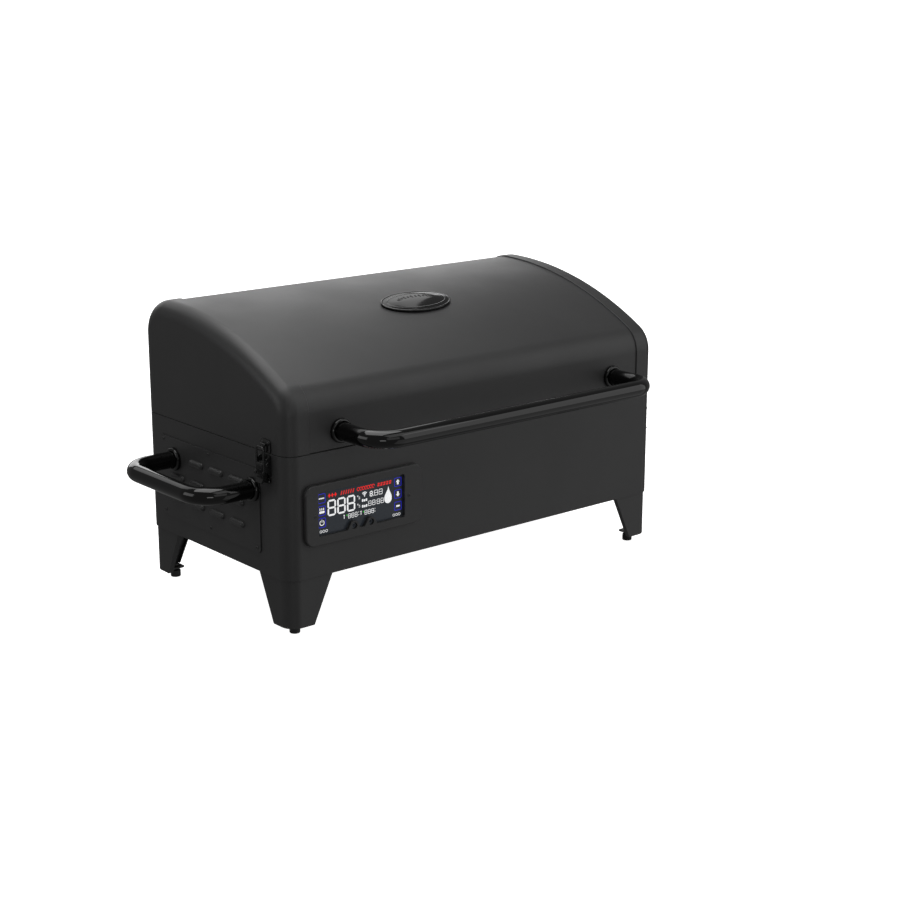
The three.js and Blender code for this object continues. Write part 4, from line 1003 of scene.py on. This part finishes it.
def latch_lever():
    tip = LATCH_TIP
    side = [
        (313.2, 217.5), (313.2, 200), (315, 196), (tip - 1.4, 191.8), (tip - 0.2, 192.2), (tip, 193.4),
        (319.8, 198), (320.8, 203), (320.8, 215.6), (320.1, 217.1), (318.5, 218), (316.9, 218.6),
        (315.2, 219), (314, 218.6),
    ]
    shape = Solid().prism(side, "y", LATCH_Y - 6.1, LATCH_Y + 6.1)
    for z in (204, 209, 214):
        shape.prism(rounded(LATCH_Y - 4.6, LATCH_Y + 4.6, z - 1.1, z + 1.1, 0.9, 4), "x", 320.4, 321.6)
    reach = LATCH_HALF + 0.7
    pin = [(1.2, 0), (1.6, 0.4), (1.6, 2 * reach - 0.4), (1.2, 2 * reach)]
    shape.turned(pin, "y", *LATCH_PIVOT, LATCH_Y - reach, 1, 20)
    reach = BAIL_HALF + 0.9
    return shape.turned([(1.3, 0), (1.3, 2 * reach)], "y", *LATCH_BAIL, LATCH_Y - reach, 1, 16)


def latch_bail():
    """A wire loop: two arms from the lever's eye, over the keeper's lip."""
    x, z = LATCH_BAIL
    bend = 4
    path = [(-BAIL_HALF, z + 2), (-BAIL_HALF, BAIL_TOP - bend)]
    path += arc(-BAIL_HALF + bend, BAIL_TOP - bend, bend, 180, 90, 8)[1:]
    path += [(-u, v) for u, v in reversed(path)]
    wire = [Vector((x + 0.4, LATCH_Y + u, v)) for u, v in path]
    shape = Solid().tube(wire, WIRE_R, 14, Vector((1, 0, 0)))
    for side in (-1, 1):
        eye = [(1.4, -1), (2.7, -1), (2.7, 1), (1.4, 1)]
        shape.ring(eye, "y", x, z, LATCH_Y + side * BAIL_HALF, 1, 18)
    return shape


def latch_keeper():
    back = HALF_W + GAP
    front = back + SHEET
    half, r, high = 10.4, 5, 240
    plate = [(LATCH_Y - half, 229.6), (LATCH_Y + half, 229.6)]
    plate += arc(LATCH_Y + half - r, high, r, 0, 90, 8) + arc(LATCH_Y - half + r, high, r, 90, 180, 8)
    shape = Solid().prism(plate, "x", back, front)
    for side in (-1, 1):
        rivet = [(2.1, 0), (2.1, 0.5), (1.4, 1.0)]
        shape.turned(rivet, "x", LATCH_Y + side * 5.6, 240.4, front - 0.1, 1, 18)
    hook = [(back + 1, 231), (313.6, 231), (313.6, 237.2)] + arc(314, 238.9, 1.6, -30, 130, 8)
    return shape.prism(hook + [(back + 1, 239.4)], "y", LATCH_Y - 5, LATCH_Y + 5)


def latches():
    parts = {
        "base": (latch_base(), "base"), "keeper": (latch_keeper(), "lid"),
        "lever": (latch_lever(), "latch_lever_{}"), "bail": (latch_bail(), "latch_bail_{}"),
    }
    for end, side in ENDS.items():
        for name, (solid, body) in parts.items():
            piece("draw_latch_%s_%s" % (name, end), solid.scaled(side), HARDWARE, body.format(end),
                  ["latch_%s_%s" % (name, end)], bevel=0.3 if name != "bail" else 0)


# ---- rear fittings
def hinge_knuckle(shape, x0, x1):
    r, long = HINGE_R, x1 - x0
    profile = [(2.6, 0), (r - 0.5, 0), (r, 0.5), (r, long - 0.5), (r - 0.5, long), (2.6, long)]
    return shape.ring(profile, "x", HINGE_Y, HINGE_Z, x0, 1, 28)


def hinges():
    half = HINGE_W / 2
    third = HINGE_W / 6
    middle = third - 0.2
    for end, side in ENDS.items():
        x = side * HINGE_X
        back = HALF_D + GAP
        leaf = Solid().prism(rounded(x - half, x + half, 196, 223.2, 3, 5), "y", back, back + 2)
        for s in (-1, 1):
            x0, x1 = sorted((x + s * (third + 0.2), x + s * half))
            leaf.box(x0, x1, back, back + 2.4, 220, HINGE_Z)
            hinge_knuckle(leaf, x0, x1)
            leaf.add(screw("y", x + s * 15, 204, back + 2, 1, 3.4, 1.7))
        piece("hinge_lower_leaf_" + end, leaf, HARDWARE, "base", ["hinge_body_leaf_" + end],
              bevel=0.2)
        back = HALF_D - SKIN_INSET + GAP
        leaf = Solid().prism(rounded(x - half, x + half, 233.4, 262, 3, 5), "y", back, back + 2)
        leaf.box(x - middle, x + middle, back, HINGE_Y - 2.7, HINGE_Z + 1.4, 236)
        hinge_knuckle(leaf, x - middle, x + middle)
        for s in (-1, 1):
            leaf.add(screw("y", x + s * 15, 252, back + 2, 1, 3.4, 1.7))
        piece("hinge_upper_leaf_" + end, leaf, HARDWARE, "lid", ["hinge_lid_leaf_" + end],
              bevel=0.2)
        long = HINGE_W + 4
        profile = [(2.2, 0), (3.2, 0.3), (3.2, 1.5), (2.45, 1.8), (2.45, long - 0.6), (1.9, long)]
        pin = Solid().turned(profile, "x", HINGE_Y, HINGE_Z, x - long / 2, 1, 24)
        piece("hinge_pin_turned_" + end, pin, ZINC, "base", ["hinge_pin_" + end], bevel=0)


def exhaust_hood():
    x0, x1, y0, y1, low, top = span("exhaust_hood")
    r = 4
    eave = top - 4.5 - r
    outer = [(y0, top)] + arc(y1 - r, eave, r, 70, 0, 6) + [(y1, low)]
    inner = [(y1 - SHEET, low)] + arc(y1 - r, eave, r - SHEET, 0, 70, 6) + [(y0, top - SHEET)]
    shape = Solid().prism(outer + inner, "x", x0 + 0.2, x1 - 0.2)
    for a, b in ((x0, x0 + SHEET), (x1 - SHEET, x1)):
        shape.prism(outer + [(y0, low)], "x", a, b)
    for a, b in ((x0, x0 + 18), (x1 - 18, x1)):
        shape.prism([(y0, low - 9), (y0 + 1.2, low - 9), (y0 + 1.2, low), (y0, low)], "x", a, b)
        shape.add(screw("y", (a + b) / 2, low - 4.6, y0 + 1.2, 1, 2.6, 1.3))
    piece("exhaust_hood_folded", shape, POWDER, "base", ["exhaust_hood"], bevel=0.3)


def inlet():
    x0, x1, y0, _, z0, z1 = span("power_inlet")
    x, z = (x0 + x1) / 2, (z0 + z1) / 2
    back = HALF_D + GAP

    def cut_corners(wide, low, shoulder, top_wide, top):
        right = [(wide, -low), (wide, shoulder), (top_wide, top)]
        left = [(-top_wide, top), (-wide, shoulder), (-wide, -low)]
        return [(x + u, z + v) for u, v in right + left]

    can = cut_corners(15, 10.5, 5, 10, 10.5)
    mouth = cut_corners(12.5, 8.2, 4, 8.6, 8.2)
    fittings = Solid()
    for dx, dz in ((-7, -2), (0, 3), (7, -2)):
        blade = rounded(x + dx - 1, x + dx + 1, z + dz - 2, z + dz + 2, 0.4, 3)
        fittings.prism(blade, "y", 144, 157)
    for side in (-1, 1):
        fittings.add(screw("y", x + side * 20, z, back + 2.1, 1, 2.7, 1.2))
    socket = Solid().prism(mouth, "y", 145, back + 8)
    flange = Solid().prism(rounded(x0, x1, z0, z1, 4, 6), "y", back, back + 2.2)
    core = Solid().prism(can, "y", y0, back + 3.4)
    piece("inlet_flange", flange, PLASTIC, "base", cut=socket, plus=fittings)
    piece("inlet_socket_moulded", core, PLASTIC, "base", ["power_inlet"], cut=socket)


def drawer():
    x0, x1, y0, y1, z0, z1 = span("grease_drawer")
    y = 60
    face = HALF_W + GAP
    tray = Solid().prism(rounded(x0, face + 0.8, -y, y, 4, 5), "z", z0 + 1, 100)
    hollow = Solid().prism(rounded(x0 + 1.6, face - 1.2, -y + 1.6, y - 1.6, 3, 5), "z", z0 + 2.6, 104)
    front = Solid().prism(rounded(y0, y1, z0, z1, 3, 5), "x", face, face + 1.7)
    grip = [(face + 1, z1 - 9), (face + 6, z1 - 7.4)] + arc(x1 - 2.2, z1 - 6.6, 2.2, -60, 120, 8)
    front.prism(grip + [(face + 1, z1 - 6.6)], "y", -24, 24)
    piece("grease_drawer_tray", tray, POWDER, "grease_drawer", ["grease_drawer"], cut=hollow,
          edge=0.2, plus=front)


# ---- inside
def grate():
    x0, x1, y0, y1, z0, z1 = span("cooking_grate")
    r = 2.6
    z = z1 - r
    shape = Solid()
    loop = [Vector((u, v, z)) for u, v in rounded(x0 + 3, x1 - 3, y0 + 3, y1 - 3, 12, 8)]
    loop.append(loop[0])
    shape.tube(loop, 3, 16)
    rods = 27
    for i in range(rods):
        x = x0 + 3 + (x1 - x0 - 6) * (i + 1) / (rods + 1)
        shape.tube([Vector((x, y0 + 4, z)), Vector((x, 0, z)), Vector((x, y1 - 4, z))], r, 12)
    for y in (y0 + 70, 0, y1 - 70):
        shape.tube([Vector((x0 + 4, y, z0 + 1.4)), Vector((x1 - 4, y, z0 + 1.4))], 1.4, 12)
    piece("cooking_grate_rods", shape, ENAMEL, "base", ["cooking_grate"], bevel=0)


def hopper_lid():
    x0, x1, y0, _, z0, _ = span("hopper_lid")
    hinge_y, hinge_z = 138, 232
    long = x1 - x0
    shape = Solid().prism(rounded(x0, x1, y0, hinge_y - 1, 5, 6), "z", z0, z0 + SHEET)
    swage = rounded(x0 + 14, x1 - 14, y0 + 14, hinge_y - 16, 8, 6)
    shape.prism(swage, "z", z0 + SHEET - 0.1, z0 + SHEET + 1.2)
    shape.box(x0, x1, hinge_y - 3.4, hinge_y - 1.4, z0, hinge_z)
    shape.ring([(2.4, 0), (4.2, 0), (4.2, long), (2.4, long)], "x", hinge_y, hinge_z, x0, 1, 28)
    profile = [(5, 1), (4.6, 2), (3.8, 6), (4, 9), (7.2, 11), (8.8, 12.6), (9, 14.4), (8.4, 16.2)]
    knob = Solid().turned(profile + [(6.5, 17), (2, 17)], "z", (x0 + x1) / 2, y0 + 18, z0, sides=36)
    piece("hopper_lid_pressed", shape, POWDER, "hopper_lid", ["hopper_lid"], bevel=0.3,
          plus=knob)


def cad_finishes():
    """The nodes that keep their CAD shape get their slot's finish and softened edges."""
    slots = {s["node"]: s["material_slot"] for s in frame["record"]["subparts"]}
    for name, item in frame["nodes"].items():
        item.data.materials.clear()
        item.data.materials.append(SLOT_FINISH[slots[name]])
        if not item.hide_render:
            bevel_edges(item, 0.35, 50)


# ---- studio
CAMERA_AT = Vector((-1.46968, -1.84804, 0.78894))
CAMERA_TURN = (90 - 15.077, 0, -39.892)
LIGHT_AIM = Vector((0.03, 0.03, 0.2))
LIGHTS = [
    ("overhead", (-0.1, 0.3, 2.0), 2.2, 1.4, 26),
    ("overhead_rear", (0.3, 1.6, 1.7), 2.6, 1.0, 7),
    ("rear", (1.0, 2.4, 0.9), 2.6, 1.0, 14.5),
    ("front_right", (2.0, -1.75, 1.05), 2.2, 2.3, 15),
    ("front_left", (-0.35, -2.6, 1.15), 1.9, 1.1, 3.5),
    ("overhead_front", (0.3, -1.3, 1.9), 2.2, 1.1, 6.5),
    ("left", (-2.3, 0.6, 0.8), 1.4, 1.0, 6),
    ("near_fill", (-1.75, -2.1, 0.25), 0.8, 0.5, 3),
    ("low_fill", (0.7, -1.0, -0.35), 1.8, 1.0, 1.8),
]
WORLD_STRENGTH = 0.165
DOME_RADIUS = 12


def camera():
    data = bpy.data.cameras.new("camera")
    data.sensor_width = 36
    data.lens = 71.93
    data.clip_start, data.clip_end = 0.05, 60
    item = linked("camera", data)
    item.location = ORIGIN + CAMERA_AT
    item.rotation_euler = [math.radians(a) for a in CAMERA_TURN]
    bpy.context.scene.camera = item


def softbox(name, place, wide, tall, watts):
    """An area light aimed at the middle of the grill."""
    data = bpy.data.lights.new(name, "AREA")
    data.shape = "RECTANGLE"
    data.size, data.size_y = wide, tall
    data.energy = watts
    item = linked(name, data)
    item.location = place
    item.rotation_euler = (LIGHT_AIM - Vector(place)).to_track_quat("-Z", "Y").to_euler()
    item.visible_camera = False


def studio():
    scene = bpy.context.scene
    scene.view_settings.view_transform = "Standard"
    scene.world = bpy.data.worlds.new("studio")
    scene.world.use_nodes = True
    sky = scene.world.node_tree.nodes["Background"].inputs
    sky["Color"].default_value = (1, 1, 1, 1)
    sky["Strength"].default_value = WORLD_STRENGTH
    for light in LIGHTS:
        softbox(*light)

    n = Nodes("studio_white")
    n.shade(Emission_Color=(1, 1, 1, 1), Emission_Strength=1.0)
    n.colour(n.ramp(n.noise(2, 2), 0.80, 0.82))
    n.rough(n.ramp(n.noise(5, 2), 0.8, 0.9))
    n.bump(n.noise(60, 2), 0.05, 0.05)
    reach = DOME_RADIUS / MM
    disc = circle(0, 0, reach, 64)
    dome = Solid().loft([
        [Vector((x * math.cos(t), y * math.cos(t), reach * math.sin(t))) for x, y in disc]
        for t in [math.radians(88 * i / 16) for i in range(17)]
    ])
    for name, faces in (("floor", dome.faces[-2:-1]), ("backdrop", dome.faces[:-2] + dome.faces[-1:])):
        part = Solid()
        part.points, part.faces = dome.points, faces
        item = linked(name, part.mesh(name))
        item.data.materials.append(n.material)
        item.visible_glossy = False
        item.visible_diffuse = False
        item.visible_shadow = False


body_shell()
access_panel()
legs_and_feet()
lid_skin()
lid_caps()
emblem()
handles()
bezel()
jacks()
glass_pane()
display()
latches()
hinges()
exhaust_hood()
inlet()
drawer()
grate()
hopper_lid()
cad_finishes()
camera()
studio()
